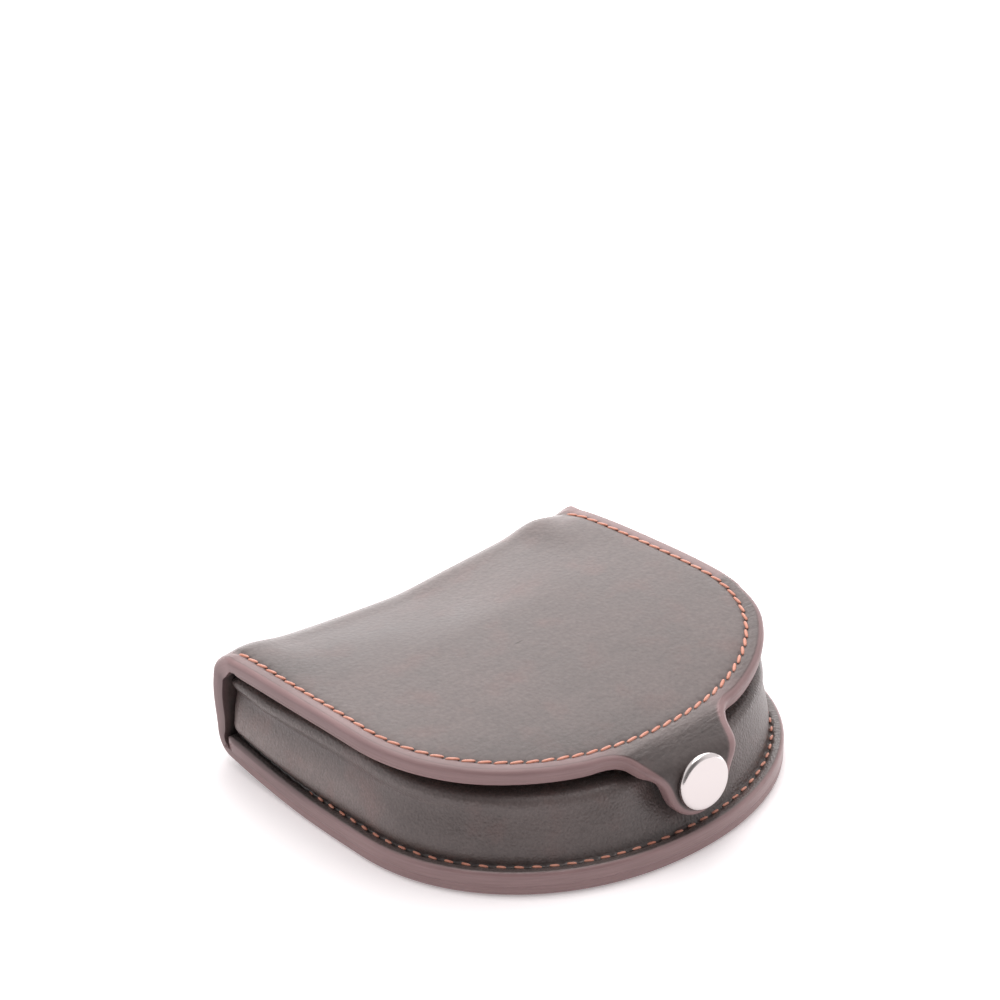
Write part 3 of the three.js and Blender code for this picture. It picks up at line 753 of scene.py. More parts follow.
# Cover: base, spine and flap with its tab in one sheet
def build_cover():
    outline = flat_outline(0.0, COVER_END)
    rows = edge_rows(0.0, COVER_THICK, COVER_ROUND, SQUARE)
    places, depths, faces, rim, ring_run = leather_sheet(outline, rows, [FLAP_SEAM, BASE_SEAM])
    x = places[:, 0]
    t = places[:, 1]
    q = t - FLAP_AT + FOLD_RADIUS
    flap_side, flap_run = seam_measure(places, FLAP_SEAM, FLAP_PITCH)
    base_side, base_run = seam_measure(places, BASE_SEAM, BASE_PITCH)
    side = np.where(t < HEEL_AT, base_side, flap_side)
    run = np.where(t < HEEL_AT, base_run, flap_run)
    outer = np.where(depths < FACE_DEPTH, 1.0, 0.0)
    lined = smooth(t, SPINE_AT - 4, SPINE_AT + 3) * (1 - smooth(t, FLAP_AT - 4, FLAP_AT + 1))
    deep = depths * (1 + SPINE_EXTRA * lined) + outer * seam_dent(side, run)
    points = cover_face(x, t) + deep[:, None] * cover_inward(x, t)
    # Paint on the edge, and on the band between the flap's seam and its edge
    wide = BROAD_PAINT["extra"] * past_depth(t, *BROAD_PAINT["u"]) * smooth(x, *BROAD_PAINT["x"])
    paint = 1 - smooth(rim - wide, *COVER_RIM)
    painted = np.maximum(paint, (depths > 0.5) & (rim < 1.2))
    on_flap = smooth(t, FOLD_AT, FLAP_AT) * (1 - past_depth(t, FILLET_START - 2, FILLET_START + 4))
    outside_seam = smooth(flap_side, *OUTSIDE_SEAM)
    beside_fold = np.where(t > flap_t(FOLD_BAND["u"]), 1.0, smooth(np.abs(x), *FOLD_BAND["x"]))
    tab_root = past_depth(t, *TAB_ROOT["u"]) * (1 - smooth(np.abs(x), *TAB_ROOT["x"]))
    scuffs = smooth(x, *SCUFFS["x"]) * past_depth(t, *SCUFFS["u"])
    band = BAND_PAINT * on_flap * outer * outside_seam * (1 - scuffs) * beside_fold * (1 - tab_root)
    # Wear, painted shade and a painted highlight
    scuffs = scuffs * outside_seam * on_flap
    # Painted shade on the tab beyond its crease, where it turns down from the light
    tab = past_depth(t, CREASE["from"], CREASE["to"] + 1)
    bend = bell(t - flap_t(CREASE["to"]), TAB_CREASE_WIDTH)
    inside_seam = smooth(flap_side, *INSIDE_SEAM["in"]) * (1 - smooth(flap_side, *INSIDE_SEAM["out"]))
    front = inside_seam * past_depth(t, *WORN_FRONT["u"]) * (1 - smooth(x, *WORN_FRONT["x"])) * outer
    # Painted shade on a patch of the flap beside the fold
    shaded_patch = (1 - smooth(x, *SHADE_PATCH["x"])) * bell(q - SHADE_PATCH["at"], SHADE_PATCH["width"])
    # Painted highlight along the fold
    fold = smooth(q, *LIT_FOLD["in"]) * (1 - smooth(q, *LIT_FOLD["out"])) * smooth(x, *LIT_FOLD["x"])
    spine_end = smooth(t, HEEL_AT - 12, SPINE_AT) * (1 - smooth(t, FOLD_AT, FLAP_AT))
    side_edge = flap_sides(t) * smooth(depths, *SIDE_EDGE)
    side_band = flap_sides(t) * outside_seam * (1 - smooth(depths, *SIDE_BAND))
    # Painted shade on the inner face of the spine, inside the fold
    under_spine = spine_end * smooth(depths, COVER_THICK - 0.05, COVER_THICK)
    shade_and_wear = SHADE_AND_WEAR["scuffs"] * scuffs + SHADE_AND_WEAR["front"] * front
    shade_and_wear = shade_and_wear + (1 - painted) * (SHADE_AND_WEAR["tab"] * tab + SHADE_AND_WEAR["shaded_patch"] * shaded_patch + SHADE_AND_WEAR["fold"] * fold)
    shade_and_wear = shade_and_wear + painted * (SHADE_AND_WEAR["spine_ends"] * spine_end + SHADE_AND_WEAR["side_edges"] * side_edge)
    shade_and_wear = shade_and_wear + SHADE_AND_WEAR["side_bands"] * side_band + SHADE_AND_WEAR["spine_ends"] * under_spine
    creases = CREASES["tab"] * bend + CREASES["scuffs"] * scuffs + CREASES["front"] * front
    values = {
        "paint": painted,
        "band": band,
        "seam_side": np.where(outer > 0, np.abs(side), NO_SEAM),
        "seam_run": run,
        "wrinkle": outer * creases,
        "rim_run": ring_run,
        "depth": depths,
        "shade": shade_and_wear,
    }
    made = piece("cover_leather", points, faces, COVER_LEATHER, values)
    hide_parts("cover")
    return made


LINING_START = FLAP_AT - 1.0
LINING_CORNER = 2.5
PARED = {"share": 0.35, "length": 5.0}


# Lining of the flap, pared to a wedge where it starts beside the fold
def build_lining():
    outline = flat_outline(LINING_START, COVER_END, LINING_CORNER)
    bottom = COVER_THICK + LINING_THICK
    rows = edge_rows(COVER_THICK, bottom, SQUARE, LINING_ROUND, 5)
    places, depths, faces, rim, ring_run = leather_sheet(outline, rows, [FLAP_SEAM])
    x = places[:, 0]
    t = places[:, 1]
    side, run = seam_measure(places, FLAP_SEAM, FLAP_PITCH)
    lower = depths > bottom - FACE_DEPTH
    full = smooth(t, LINING_START, LINING_START + PARED["length"])
    pared = (depths - COVER_THICK) * (PARED["share"] + (1 - PARED["share"]) * full)
    dent = np.where(lower, seam_dent(side, run), 0.0)
    points = cover_face(x, t) + (COVER_THICK + pared - dent)[:, None] * cover_inward(x, t)
    values = {
        "paint": 1 - smooth(rim, *LINING_RIM),
        "band": np.zeros(len(x)),
        "seam_side": np.where(lower, np.abs(side), NO_SEAM),
        "seam_run": run,
        "wrinkle": np.zeros(len(x)),
        "rim_run": ring_run,
        "depth": depths,
        "shade": SHADE_AND_WEAR["side_edges"] * flap_sides(t),
    }
    made = piece("lining_leather", points, faces, LINING_LEATHER, values)
    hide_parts("flap_lining")
    return made


# Section of the bowl from the bottom of the flange's edge to the top of the wall: inset from the base outline
# near the mouth, at the middle of the sides and at the front, extra inset behind the tab, height above the
# flange as a share of the wall, and height in millimetres
BOWL_COLUMNS = ("mouth", "middle", "front", "dent", "share", "rise")
BOWL_SECTION = [
    (0.03, 0.03, 0.03, 0.0, 0.0, -2.35),
    (0.01, 0.01, 0.01, 0.0, 0.0, -2.33),
    (0.00, 0.00, 0.00, 0.0, 0.0, -2.20),
    (0.00, 0.00, 0.00, 0.0, 0.0, -0.80),
    (0.08, 0.08, 0.08, 0.0, 0.0, -0.42),
    (0.28, 0.28, 0.28, 0.0, 0.0, -0.14),
    (0.62, 0.62, 0.62, 0.0, 0.0, 0.0),
    (1.05, 1.10, 1.10, 0.0, 0.0, 0.0),
    (1.45, 1.60, 1.60, 0.0, 0.0, 0.0),
    (1.80, 2.00, 2.00, 0.0, 0.0, -0.02),
    (2.10, 2.40, 2.40, 0.0, 0.0, -0.06),
    (2.20, 2.55, 2.70, 0.05, 0.01, 0.0),
    (1.85, 2.42, 2.90, 0.1, 0.035, 0.0),
    (1.42, 2.20, 3.10, 0.25, 0.08, 0.0),
    (1.10, 2.02, 3.30, 0.55, 0.15, 0.0),
    (1.10, 2.04, 3.54, 0.95, 0.24, 0.0),
    (1.62, 2.44, 3.95, 1.8, 0.42, 0.0),
    (2.28, 2.97, 4.40, 2.2, 0.6, 0.0),
    (2.58, 3.17, 4.78, 2.2, 0.73, 0.0),
    (2.15, 2.95, 5.02, 2.05, 0.8, 0.0),
    (1.72, 2.75, 5.30, 1.87, 0.87, 0.0),
    (1.85, 2.98, 5.75, 1.7, 0.94, 0.0),
    (2.70, 3.70, 6.70, 1.4, 0.99, 0.0),
    (4.30, 5.00, 8.10, 0.8, 1.0, 0.0),
    (6.60, 7.00, 10.2, 0.0, 1.0, 0.0),
]
BOWL_ROWS = 170
TOP_COLUMNS = 24
TOP_FADE = 10.0                     # depth over which the top comes down from its rise at the mouth
MOUTH_ZONE = (12.0, 40.0)           # depths over which the mouth's section turns into the middle one
MOUTH_ROUND = (0.55, 0.25, 0.08)    # by which the first rows draw in, for a rounded end of the leather
FLANGE_INSET = 0.6                  # of the flange's inner face from its edge
# Painted shade, painted highlight and wear of the bowl, as shares by which it is darker or, below zero,
# lighter:
# painted shade in the crease at the foot of the wall, the flange's edge darker beside the mouth and painted
# shade on its corner, painted shade in the hollow of the wall and a painted highlight on the bulge below it.
# The right wall has only a share of the last two.
BOWL_SHADE_AND_WEAR = {"foot": 0.2, "edge": 0.22, "corner": 0.33, "hollow": 0.18, "bulge": -0.75, "right_share": 0.25}
WALL_ZONE = (28.0, 50.0)
FOOT = {"share": 0.03, "width": 0.06, "inset": 1.8}
HOLLOW = {"share": 0.74, "width": 0.1}
BULGE = {"share": 0.33, "width": 0.23}
FOOT_CREASES = {"share": 0.1, "width": 0.12, "strength": 0.25}
BOWL_ROW_LENGTH = 0.7


# The section's columns at finer steps, on a smooth curve through its rows
def fine_section(steps=3):
    columns = dict(zip(BOWL_COLUMNS, np.array(BOWL_SECTION).T))
    count = len(BOWL_SECTION)
    places = np.linspace(0, count - 1, (count - 1) * steps + 1)
    low = np.clip(places.astype(int), 0, count - 2)
    part = places - low
    fine = {}
    for key, values in columns.items():
        before = values[np.clip(low - 1, 0, count - 1)]
        first = values[low]
        second = values[low + 1]
        after = values[np.clip(low + 2, 0, count - 1)]
        cubic = 3 * (first - second) + after - before
        square = 2 * before - 5 * first + 4 * second - after
        fine[key] = first + 0.5 * part * (second - before + part * (square + part * cubic))
    return fine


def bowl_top(x, u):
    clear = BOWL_CLEAR - MOUTH_RISE * (1 - smooth(u, MOUTH_DEPTH, MOUTH_DEPTH + TOP_FADE))
    return flap_top(np.maximum(u, FOLD_RADIUS)) - saddle(x, u) - clear


# Places of the bowl's rows on the base outline, from the mouth to the middle of the front, and the unit
# vectors inwards there
def bowl_line():
    quarter = np.linspace(0, math.pi / 2, 300)
    round_u = BASE["widest"] + (BASE["depth"] - BASE["widest"]) * np.sin(quarter)
    u = np.concatenate([np.linspace(MOUTH_DEPTH, BASE["widest"], 200)[:-1], round_u])
    outline = resampled(np.stack([-half_width(BASE, u), u], 1), 0.05, False)
    lengths = np.linspace(0, 1, len(outline))
    rows = np.linspace(0, 1, BOWL_ROWS)
    line = np.stack([np.interp(rows, lengths, outline[:, k]) for k in range(2)], 1)
    inward = -left_normals(line, False)
    inward[-1] = (0.0, -1.0)
    return line, inward


# Moulded bowl: rows from the mouth to the middle of the front, each climbing one wall and crossing to the
# other
def build_bowl():
    section = fine_section()
    line, inward = bowl_line()
    front = np.clip(-inward[:, 1], 0, None) ** 2
    dent = front * (1 - smooth(np.abs(line[:, 0]), 0, DENT_HALF))
    mouth = 1 - smooth(line[:, 1], *MOUTH_ZONE)
    shrink = np.zeros(BOWL_ROWS)
    shrink[:len(MOUTH_ROUND)] = MOUTH_ROUND

    def half_section(row, deep):
        inset = section["middle"] + mouth[row] * (section["mouth"] - section["middle"])
        inset = inset + front[row] * (section["front"] - section["middle"]) + dent[row] * section["dent"]
        crest = line[row] + inset[-1] * inward[row]
        foot = COVER_THICK + FLANGE_THICK + base_lift(line[row, 1])
        tall = bowl_top(crest[0], crest[1]) - foot
        rise = section["share"] * tall + section["rise"]
        run = np.gradient(inset)
        climb = np.gradient(rise)
        size = np.hypot(run, climb)
        thick = np.where(section["share"] > 0.05, BOWL_THICK, FLANGE_THICK)
        depth = np.where(deep, thick, 0.0) + np.where(deep, -shrink[row], shrink[row])
        in_inset = inset + depth * climb / size
        in_rise = rise - depth * run / size
        if deep:
            in_inset = np.where(section["rise"] < -0.1, FLANGE_INSET, in_inset)
            in_rise = np.where(section["share"] <= 0.001, -FLANGE_THICK, in_rise)
        place = line[row] + in_inset[:, None] * inward[row]
        near_mouth = 1 - smooth(line[row, 1], MOUTH_DEPTH, MOUTH_DEPTH + MOUTH_FADE)
        reach = near_mouth * (MOUTH_REACH * smooth(section["share"], 0.0, 0.7)
                              + FLANGE_REACH * (1 - smooth(section["share"], 0.0, 0.3)))
        points = np.stack([place[:, 0], MIDDLE_DEPTH - place[:, 1] + reach, foot + in_rise], 1)
        return points, crest

    def full_row(row, deep):
        left, crest = half_section(row, deep)
        share = np.linspace(0, 1, TOP_COLUMNS + 2)[1:-1]
        x = left[-1, 0] * (1 - 2 * share)
        drop = (BOWL_THICK - shrink[row]) if deep else shrink[row]
        top = np.stack([x, np.full_like(x, left[-1, 1]), bowl_top(x, crest[1]) - drop], 1)
        right = (left * [-1, 1, 1])[::-1]
        return np.vstack([left, top, right])

    outer = np.array([full_row(row, False) for row in range(BOWL_ROWS)])
    inner = np.array([full_row(row, True) for row in range(BOWL_ROWS)])
    across = outer.shape[1]
    points = np.vstack([outer.reshape(-1, 3), inner.reshape(-1, 3)])
    half = BOWL_ROWS * across
    faces = []
    for row in range(BOWL_ROWS - 1):
        for k in range(across - 1):
            a = row * across + k
            faces.append((a, a + across, a + across + 1, a + 1))
            faces.append((half + a, half + a + 1, half + a + across + 1, half + a + across))
        left = row * across
        faces.append((left, half + left, half + left + across, left + across))
        right = left + across - 1
        faces.append((right, right + across, half + right + across, half + right))
    for k in range(across - 1):
        faces.append((k, k + 1, half + k + 1, half + k))

    # One column of the section at every point of the outer face
    def everywhere(key, on_top):
        one_row = np.concatenate([section[key], np.full(TOP_COLUMNS, on_top), section[key][::-1]])
        return np.tile(one_row, BOWL_ROWS)

    inset = everywhere("middle", NO_SEAM)
    rise = everywhere("rise", 0.0)
    share = everywhere("share", 1.0)
    row = np.repeat(np.arange(BOWL_ROWS), across)
    column = np.tile(np.arange(across), BOWL_ROWS)
    x_side = np.where(column < across / 2, -1.0, 1.0)
    flat_places = np.stack([-x_side * (line[row, 0] + inset * inward[row, 0]),
                            base_t(line[row, 1] + inset * inward[row, 1])], 1)
    side, run = seam_measure(flat_places, BASE_SEAM, BASE_PITCH)
    flange = share < 0.02
    side = np.where(flange, np.abs(side), NO_SEAM)
    points[:half, 2] -= np.where(flange & (rise > -0.1), seam_dent(side, run), 0.0)
    edge = (1 - smooth(inset, 0.3, 0.75)) * np.where(share < 0.01, 1.0, 0.0)
    # Painted shade in the crease at the foot of the wall and on the flange's corner beside the mouth, whose
    # edge is darker
    shade_and_wear = BOWL_SHADE_AND_WEAR["foot"] * bell(share - FOOT["share"], FOOT["width"]) * (inset > FOOT["inset"])
    dark_flange = BOWL_SHADE_AND_WEAR["edge"] + BOWL_SHADE_AND_WEAR["corner"] * smooth(rise, -0.9, -0.3)
    shade_and_wear = shade_and_wear + np.where(share < 0.005, dark_flange, 0.0) * mouth[row]
    # A painted highlight on the bulge of the wall and painted shade in the hollow above it, most of all on
    # the left
    on_wall = (1 - smooth(line[row, 1], *WALL_ZONE)) * smooth(share, 0.01, 0.08)
    on_wall = on_wall * np.where(x_side < 0, 1.0, BOWL_SHADE_AND_WEAR["right_share"])
    wall_light_and_shade = BOWL_SHADE_AND_WEAR["hollow"] * bell(share - HOLLOW["share"], HOLLOW["width"])
    wall_light_and_shade = wall_light_and_shade + BOWL_SHADE_AND_WEAR["bulge"] * bell(share - BULGE["share"], BULGE["width"])
    shade_and_wear = shade_and_wear + on_wall * wall_light_and_shade
    creases = FOOT_CREASES["strength"] * bell(share - FOOT_CREASES["share"], FOOT_CREASES["width"])
    inside = np.zeros(half)
    values = {
        "paint": np.concatenate([edge, inside]),
        "band": np.zeros(2 * half),
        "seam_side": np.concatenate([side, inside + NO_SEAM]),
        "seam_run": np.concatenate([run, inside]),
        "wrinkle": np.concatenate([np.where(flange, 0.0, creases), inside]),
        "rim_run": np.concatenate([row * BOWL_ROW_LENGTH, inside]),
        "depth": np.concatenate([-rise, inside]),
        "shade": np.concatenate([shade_and_wear, inside]),
    }
    made = piece("bowl_leather", points, faces, BOWL_LEATHER, values)
    merge_and_turn(made.data)
    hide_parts("bowl")
    return made


# Joins points that meet and turns all faces outwards
def merge_and_turn(mesh):
    work = bmesh.new()
    work.from_mesh(mesh)
    bmesh.ops.remove_doubles(work, verts=work.verts, dist=1e-6)
    bmesh.ops.dissolve_degenerate(work, edges=work.edges, dist=1e-7)
    bmesh.ops.recalc_face_normals(work, faces=work.faces)
    work.to_mesh(mesh)
    work.free()
    mesh.polygons.foreach_set("use_smooth", [True] * len(mesh.polygons))


# A row of stitches by Geometry Nodes: barrels of thread set along a path that carries the leather's normal
def stitch_tree():
    tree = bpy.data.node_groups.new("stitch_row", "GeometryNodeTree")
    tree.interface.new_socket("Geometry", in_out="INPUT", socket_type="NodeSocketGeometry")
    sizes = {
        "Stitches": ("NodeSocketInt", 40),
        "Stitch Length": ("NodeSocketFloat", 0.002),
        "Thread Width": ("NodeSocketFloat", 0.0006),
        "Thread Height": ("NodeSocketFloat", 0.0005),
        "Slant": ("NodeSocketFloat", 0.1),
        "Wander": ("NodeSocketFloat", 0.05),
        "Seed": ("NodeSocketInt", 3),
        "Thread": ("NodeSocketMaterial", None),
    }
    for key, (kind, value) in sizes.items():
        socket = tree.interface.new_socket(key, in_out="INPUT", socket_type=kind)
        if value is not None:
            socket.default_value = value
    tree.interface.new_socket("Geometry", in_out="OUTPUT", socket_type="NodeSocketGeometry")
    given = add(tree, "NodeGroupInput").outputs
    path = add(tree, "GeometryNodeMeshToCurve", {"Mesh": given["Geometry"]})
    spots = add(tree, "GeometryNodeResampleCurve", {"Curve": path, "Count": given["Stitches"]})
    sides = {"X": "Thread Height", "Y": "Thread Width", "Z": "Stitch Length"}
    halves = {axis: add(tree, "ShaderNodeMath", {0: given[side], 1: 0.5}, operation="MULTIPLY")
              for axis, side in sides.items()}
    size = add(tree, "ShaderNodeCombineXYZ", halves)
    ball = add(tree, "GeometryNodeMeshUVSphere", {"Segments": 10, "Rings": 8, "Radius": 1.0})
    # Full barrel: the ends are rounder than a plain ellipsoid's
    split = add(tree, "ShaderNodeSeparateXYZ", {0: add(tree, "GeometryNodeInputPosition")}).outputs
    level = add(tree, "ShaderNodeMath", {0: split["Z"], 1: split["Z"]}, operation="MULTIPLY")
    fuller = add(tree, "ShaderNodeMath", {0: level, 1: 0.3, 2: 1.0}, operation="MULTIPLY_ADD")
    full = {axis: add(tree, "ShaderNodeMath", {0: split[axis], 1: fuller}, operation="MULTIPLY")
            for axis in ("X", "Y")}
    shape = add(tree, "ShaderNodeCombineXYZ", {**full, "Z": split["Z"]})
    barrel = add(tree, "GeometryNodeSetPosition", {"Geometry": ball, "Position": shape})
    barrel = add(tree, "GeometryNodeTransform", {"Geometry": barrel, "Scale": size})
    normal = add(tree, "GeometryNodeInputNamedAttribute", {"Name": "leather_normal"},
                 data_type="FLOAT_VECTOR")
    tangent = add(tree, "GeometryNodeInputTangent")
    facing = add(tree, "FunctionNodeAxesToRotation", {"Primary Axis": tangent, "Secondary Axis": normal},
                 primary_axis="Z", secondary_axis="X")
    low = add(tree, "ShaderNodeMath", {0: given["Slant"], 1: given["Wander"]}, operation="SUBTRACT")
    high = add(tree, "ShaderNodeMath", {0: given["Slant"], 1: given["Wander"]}, operation="ADD")
    tilt = add(tree, "FunctionNodeRandomValue", {"Min": low, "Max": high, "Seed": given["Seed"]},
               data_type="FLOAT")
    turn = add(tree, "ShaderNodeCombineXYZ", {"X": tilt, "Y": 0.0, "Z": 0.0})
    turned = add(tree, "FunctionNodeEulerToRotation", {0: turn})
    spun = add(tree, "FunctionNodeRotateRotation", {"Rotation": facing, "Rotate By": turned},
               rotation_space="LOCAL")
    placed = add(tree, "GeometryNodeInstanceOnPoints", {
        "Points": spots, "Instance": barrel, "Rotation": spun})
    real = add(tree, "GeometryNodeRealizeInstances", {"Geometry": placed})
    soft = add(tree, "GeometryNodeSetShadeSmooth", {0: real})
    coated = add(tree, "GeometryNodeSetMaterial", {"Geometry": soft, "Material": given["Thread"]})
    add(tree, "NodeGroupOutput", {"Geometry": coated})
    return tree


STITCH_TREE = stitch_tree()


# One row of stitches on points in millimetres with their outward normals
def stitch_row(name, points, normals, settings):
    mesh = bpy.data.meshes.new(name)
    mesh.from_pydata([tuple(p) for p in points * MM], [(i, i + 1) for i in range(len(points) - 1)], [])
    layer = mesh.attributes.new("leather_normal", "FLOAT_VECTOR", "POINT")
    layer.data.foreach_set("vector", normals.astype(np.float32).ravel())
    host = bpy.data.objects.new(name, mesh)
    bpy.context.scene.collection.objects.link(host)
    modifier = host.modifiers.new("stitches", "NODES")
    modifier.node_group = STITCH_TREE
    for item in STITCH_TREE.interface.items_tree:
        if item.in_out == "INPUT" and item.name in settings:
            modifier[item.identifier] = settings[item.name]
    bpy.context.view_layer.update()
    solid = bpy.data.meshes.new_from_object(host.evaluated_get(bpy.context.evaluated_depsgraph_get()))
    host.modifiers.clear()
    host.data = solid
    host.data.name = name
    return host


# The middle of each stitch lies half a pitch inside the seam's ends
def stitch_places(seam, pitch):
    line = resampled(seam, 0.1, False)
    length = np.linalg.norm(np.diff(line, axis=0), axis=1).sum()
    count = stitch_count(length, pitch)
    ends = 0.5 / count
    shares = np.linspace(0, 1, len(line))
    wanted = np.linspace(ends, 1 - ends, 8 * count)
    return np.stack([np.interp(wanted, shares, line[:, k]) for k in range(2)], 1), count


# Threads of the two seams, in millimetres, with the slant of the stitches in radians
FLAP_THREAD = {"length": 2.32, "width": 0.62, "height": 0.5, "slant": 0.2, "wander": 0.05}
BASE_THREAD = {"length": 1.6, "width": 0.5, "height": 0.42, "slant": -0.1, "wander": 0.08}
LINING_SLANT = -0.13
BASE_SINK = 0.3
# Near the mouth the bowl bulges over its seam and the stitches sink into the crease
FLANGE_SINK = {"front": 0.1, "more": 0.5, "u": (20.0, 30.0)}


def thread_settings(thread, count, seed):
    return {"Stitches": count, "Stitch Length": thread["length"] * MM, "Thread Width": thread["width"] * MM,
            "Thread Height": thread["height"] * MM, "Slant": thread["slant"], "Wander": thread["wander"],
            "Seed": seed, "Thread": THREAD}


# The four rows: on the flap, under the flap, on the flange and under the base
def build_stitches():
    flap_places, flap_count = stitch_places(FLAP_SEAM, FLAP_PITCH)
    base_places, base_count = stitch_places(BASE_SEAM, BASE_PITCH)
    flap_face = cover_face(flap_places[:, 0], flap_places[:, 1])
    flap_in = cover_inward(flap_places[:, 0], flap_places[:, 1])
    base_face = cover_face(base_places[:, 0], base_places[:, 1])
    base_in = cover_inward(base_places[:, 0], base_places[:, 1])
    under_flap = flap_face + (COVER_THICK + LINING_THICK - STITCH_SINK) * flap_in
    base_u = BASE["depth"] - base_places[:, 1]
    sunk = FLANGE_SINK["front"] + FLANGE_SINK["more"] * (1 - smooth(base_u, *FLANGE_SINK["u"]))
    on_flange = base_face + (COVER_THICK + FLANGE_THICK - sunk)[:, None] * base_in
    on_flap = flap_face + STITCH_SINK * flap_in
    under_base = base_face + BASE_SINK * base_in
    lining_thread = {**FLAP_THREAD, "slant": LINING_SLANT}
    rows = [
        ("flap_stitches", on_flap, -flap_in, thread_settings(FLAP_THREAD, flap_count, 11)),
        ("lining_stitches", under_flap, flap_in, thread_settings(lining_thread, flap_count, 5)),
        ("flange_stitches", on_flange, base_in, thread_settings(BASE_THREAD, base_count, 23)),
        ("base_stitches", under_base, -base_in, thread_settings(BASE_THREAD, base_count, 7)),
    ]
    made = []
    for name, points, normals, settings in rows:
        row = stitch_row(name, points, normals, settings)
        made.append(row)
    return made


# A turned shape on the tab: X across, Z out of the leather, origin on the outer face at the press stud
def lathe(name, profile, sides, material):
    centre_u, centre_z = front_path(np.array([TIP_CENTRE]))
    place = Matrix.Translation((TAB_SHIFT, MIDDLE_DEPTH - float(centre_u[0]), float(centre_z[0])))
    turn = Matrix.Rotation(-math.atan(TAB_TWIST), 4, "Z") @ Matrix.Rotation(TAB_END_HEADING, 4, "X")
    frame_here = np.array(place @ turn)
    points = []
    angles = np.linspace(0, 2 * math.pi, sides, endpoint=False)
    for radius, height in profile:
        points += [(radius * math.cos(a), radius * math.sin(a), height) for a in angles]
    local = np.hstack([np.array(points), np.ones((len(points), 1))])
    made = piece(name, (local @ frame_here.T)[:, :3], ring_quads(len(profile), sides), material)
    merge_and_turn(made.data)
    return made


# Profiles of the press stud as radius and height over the leather's outer face
CAP_SIDES = 96
STUD_SIDES = 48
CAP_PROFILE = [
    (0.0, -0.05), (4.3, -0.05), (4.62, 0.02), (4.84, 0.2), (4.95, 0.48), (4.97, 0.75), (4.9, 1.0),
    (4.74, 1.2), (4.52, 1.33), (4.25, 1.4), (3.9, 1.43), (3.0, 1.47), (2.0, 1.5), (1.0, 1.515), (0.0, 1.52),
]
STUD_PROFILE = [
    (0.0, -4.35), (1.6, -4.35), (2.0, -4.3), (2.1, -4.1), (2.1, -3.75), (2.5, -3.7), (2.9, -3.6),
    (3.0, -3.4), (3.0, -3.0), (2.9, -2.82), (2.6, -2.76), (0.0, -2.76),
]


def build_press_stud():
    cap = lathe("press_stud_cap", CAP_PROFILE, CAP_SIDES, NICKEL)
    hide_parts("snap_cap")
    stud = lathe("press_stud_back", STUD_PROFILE, STUD_SIDES, NICKEL)
    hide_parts("snap_stud")
    return [cap, stud]


# The stage, in metres. The floor's glow grows towards the back along one direction.
FLOOR = {"half": 3.0, "back": (0.8, 0.6, 0.0), "near": 0.035, "far": 0.12, "near_glow": 0.25, "far_glow": 2.6}
# Light of the room by direction: each part goes from one level to another as the direction nears its own
ROOM_FRONT = (-0.56, -0.735, 0.37)
ROOM_LEFT = (-0.93, 0.27, 0.25)
ROOM_LIGHT = [
    {"name": "dark_front", "towards": ROOM_FRONT, "from": 0.25, "to": 0.85, "first": 1.05, "last": 0.22},
    {"name": "bright_back", "towards": ROOM_FRONT, "from": -0.95, "to": -0.74, "first": 2.8, "last": 0.0},
    {"name": "pale_left", "towards": ROOM_LEFT, "from": 0.5, "to": 0.95, "first": 0.0, "last": 0.15},
]
ROOM_TINT = (1.0, 0.97, 0.97, 1.0)
LAMPS = [
    {"name": "overhead_softbox", "place": (0.1, 0.12, 0.75), "size": 0.5, "power": 2.7},
    {"name": "back_softbox", "place": (0.56, 0.62, 0.58), "size": 0.8, "power": 3.9},
]
LAMP_TINT = (1.0, 0.96, 0.95)
CAMERA = {"place": (-0.32481, -0.34712, 0.30078), "down": 27.814, "turn": -42.226,
          "lens": 118.79, "sensor": 36.0}


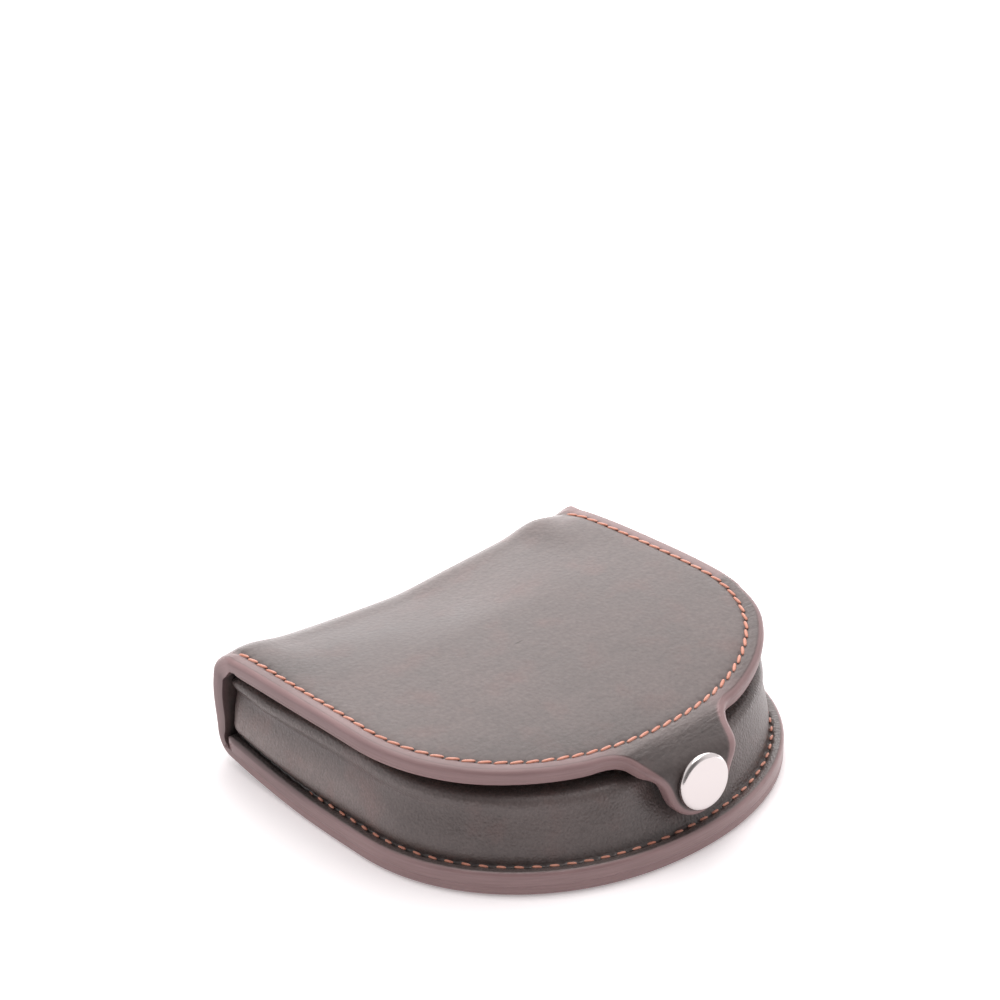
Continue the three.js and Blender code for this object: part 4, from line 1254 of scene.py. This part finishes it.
# Paper: white and matt, with a painted glow, faint beside the purse and strong towards the back. The eye gets
# a plain ground that turns pure white behind.
def paper_material():
    material, tree = new_material("white_paper_floor")
    place = add(tree, "ShaderNodeTexCoord").outputs["Object"]
    back = add(tree, "ShaderNodeVectorMath", {0: place, 1: FLOOR["back"]}, operation="DOT_PRODUCT")
    glow = add(tree, "ShaderNodeMapRange", {
        "Value": back, "From Min": FLOOR["near"], "From Max": FLOOR["far"],
        "To Min": FLOOR["near_glow"], "To Max": FLOOR["far_glow"]}, interpolation_type="SMOOTHSTEP")
    surface = add(tree, "ShaderNodeBsdfPrincipled", {
        "Base Color": colour("#F3F1F2"), "Roughness": 0.9, "Emission Color": colour("#FFFCFD"),
        "Emission Strength": glow})
    add(tree, "ShaderNodeOutputMaterial", {"Surface": surface})
    return material


# Floor, room light, lamps and camera
def build_stage():
    size = FLOOR["half"] / MM
    corners = [(-size, -size, 0), (size, -size, 0), (size, size, 0), (-size, size, 0)]
    floor = piece("floor", corners, [(0, 1, 2, 3)], paper_material())
    scene = bpy.context.scene
    scene.view_settings.view_transform = "Standard"
    world = bpy.data.worlds.new("white_room")
    scene.world = world
    world.use_nodes = True
    sky = world.node_tree
    towards = add(sky, "ShaderNodeTexCoord").outputs["Generated"]
    level = 0.0
    for part in ROOM_LIGHT:
        facing = add(sky, "ShaderNodeVectorMath", {0: towards, 1: part["towards"]}, operation="DOT_PRODUCT")
        light = add(sky, "ShaderNodeMapRange", {
            "Value": facing, "From Min": part["from"], "From Max": part["to"],
            "To Min": part["first"], "To Max": part["last"]}, interpolation_type="SMOOTHSTEP")
        level = add(sky, "ShaderNodeMath", {0: level, 1: light}, operation="ADD", label=part["name"])
    sky.nodes["Background"].inputs["Color"].default_value = ROOM_TINT
    sky.links.new(level.outputs[0], sky.nodes["Background"].inputs["Strength"])
    for lamp in LAMPS:
        data = bpy.data.lights.new(lamp["name"], "AREA")
        data.shape = "SQUARE"
        data.size = lamp["size"]
        data.energy = lamp["power"]
        data.color = LAMP_TINT
        holder = bpy.data.objects.new(lamp["name"], data)
        scene.collection.objects.link(holder)
        holder.location = lamp["place"]
        holder.rotation_euler = Vector(lamp["place"]).to_track_quat("Z", "Y").to_euler()
    camera_data = bpy.data.cameras.new("camera")
    camera_data.lens = CAMERA["lens"]
    camera_data.sensor_width = CAMERA["sensor"]
    camera = bpy.data.objects.new("camera", camera_data)
    scene.collection.objects.link(camera)
    camera.location = CAMERA["place"]
    camera.rotation_euler = (math.radians(90 - CAMERA["down"]), 0.0, math.radians(CAMERA["turn"]))
    scene.camera = camera


build_stage()
pieces = [build_cover(), build_lining(), build_bowl()] + build_stitches() + build_press_stud()
for made in pieces:
    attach(made, "root")
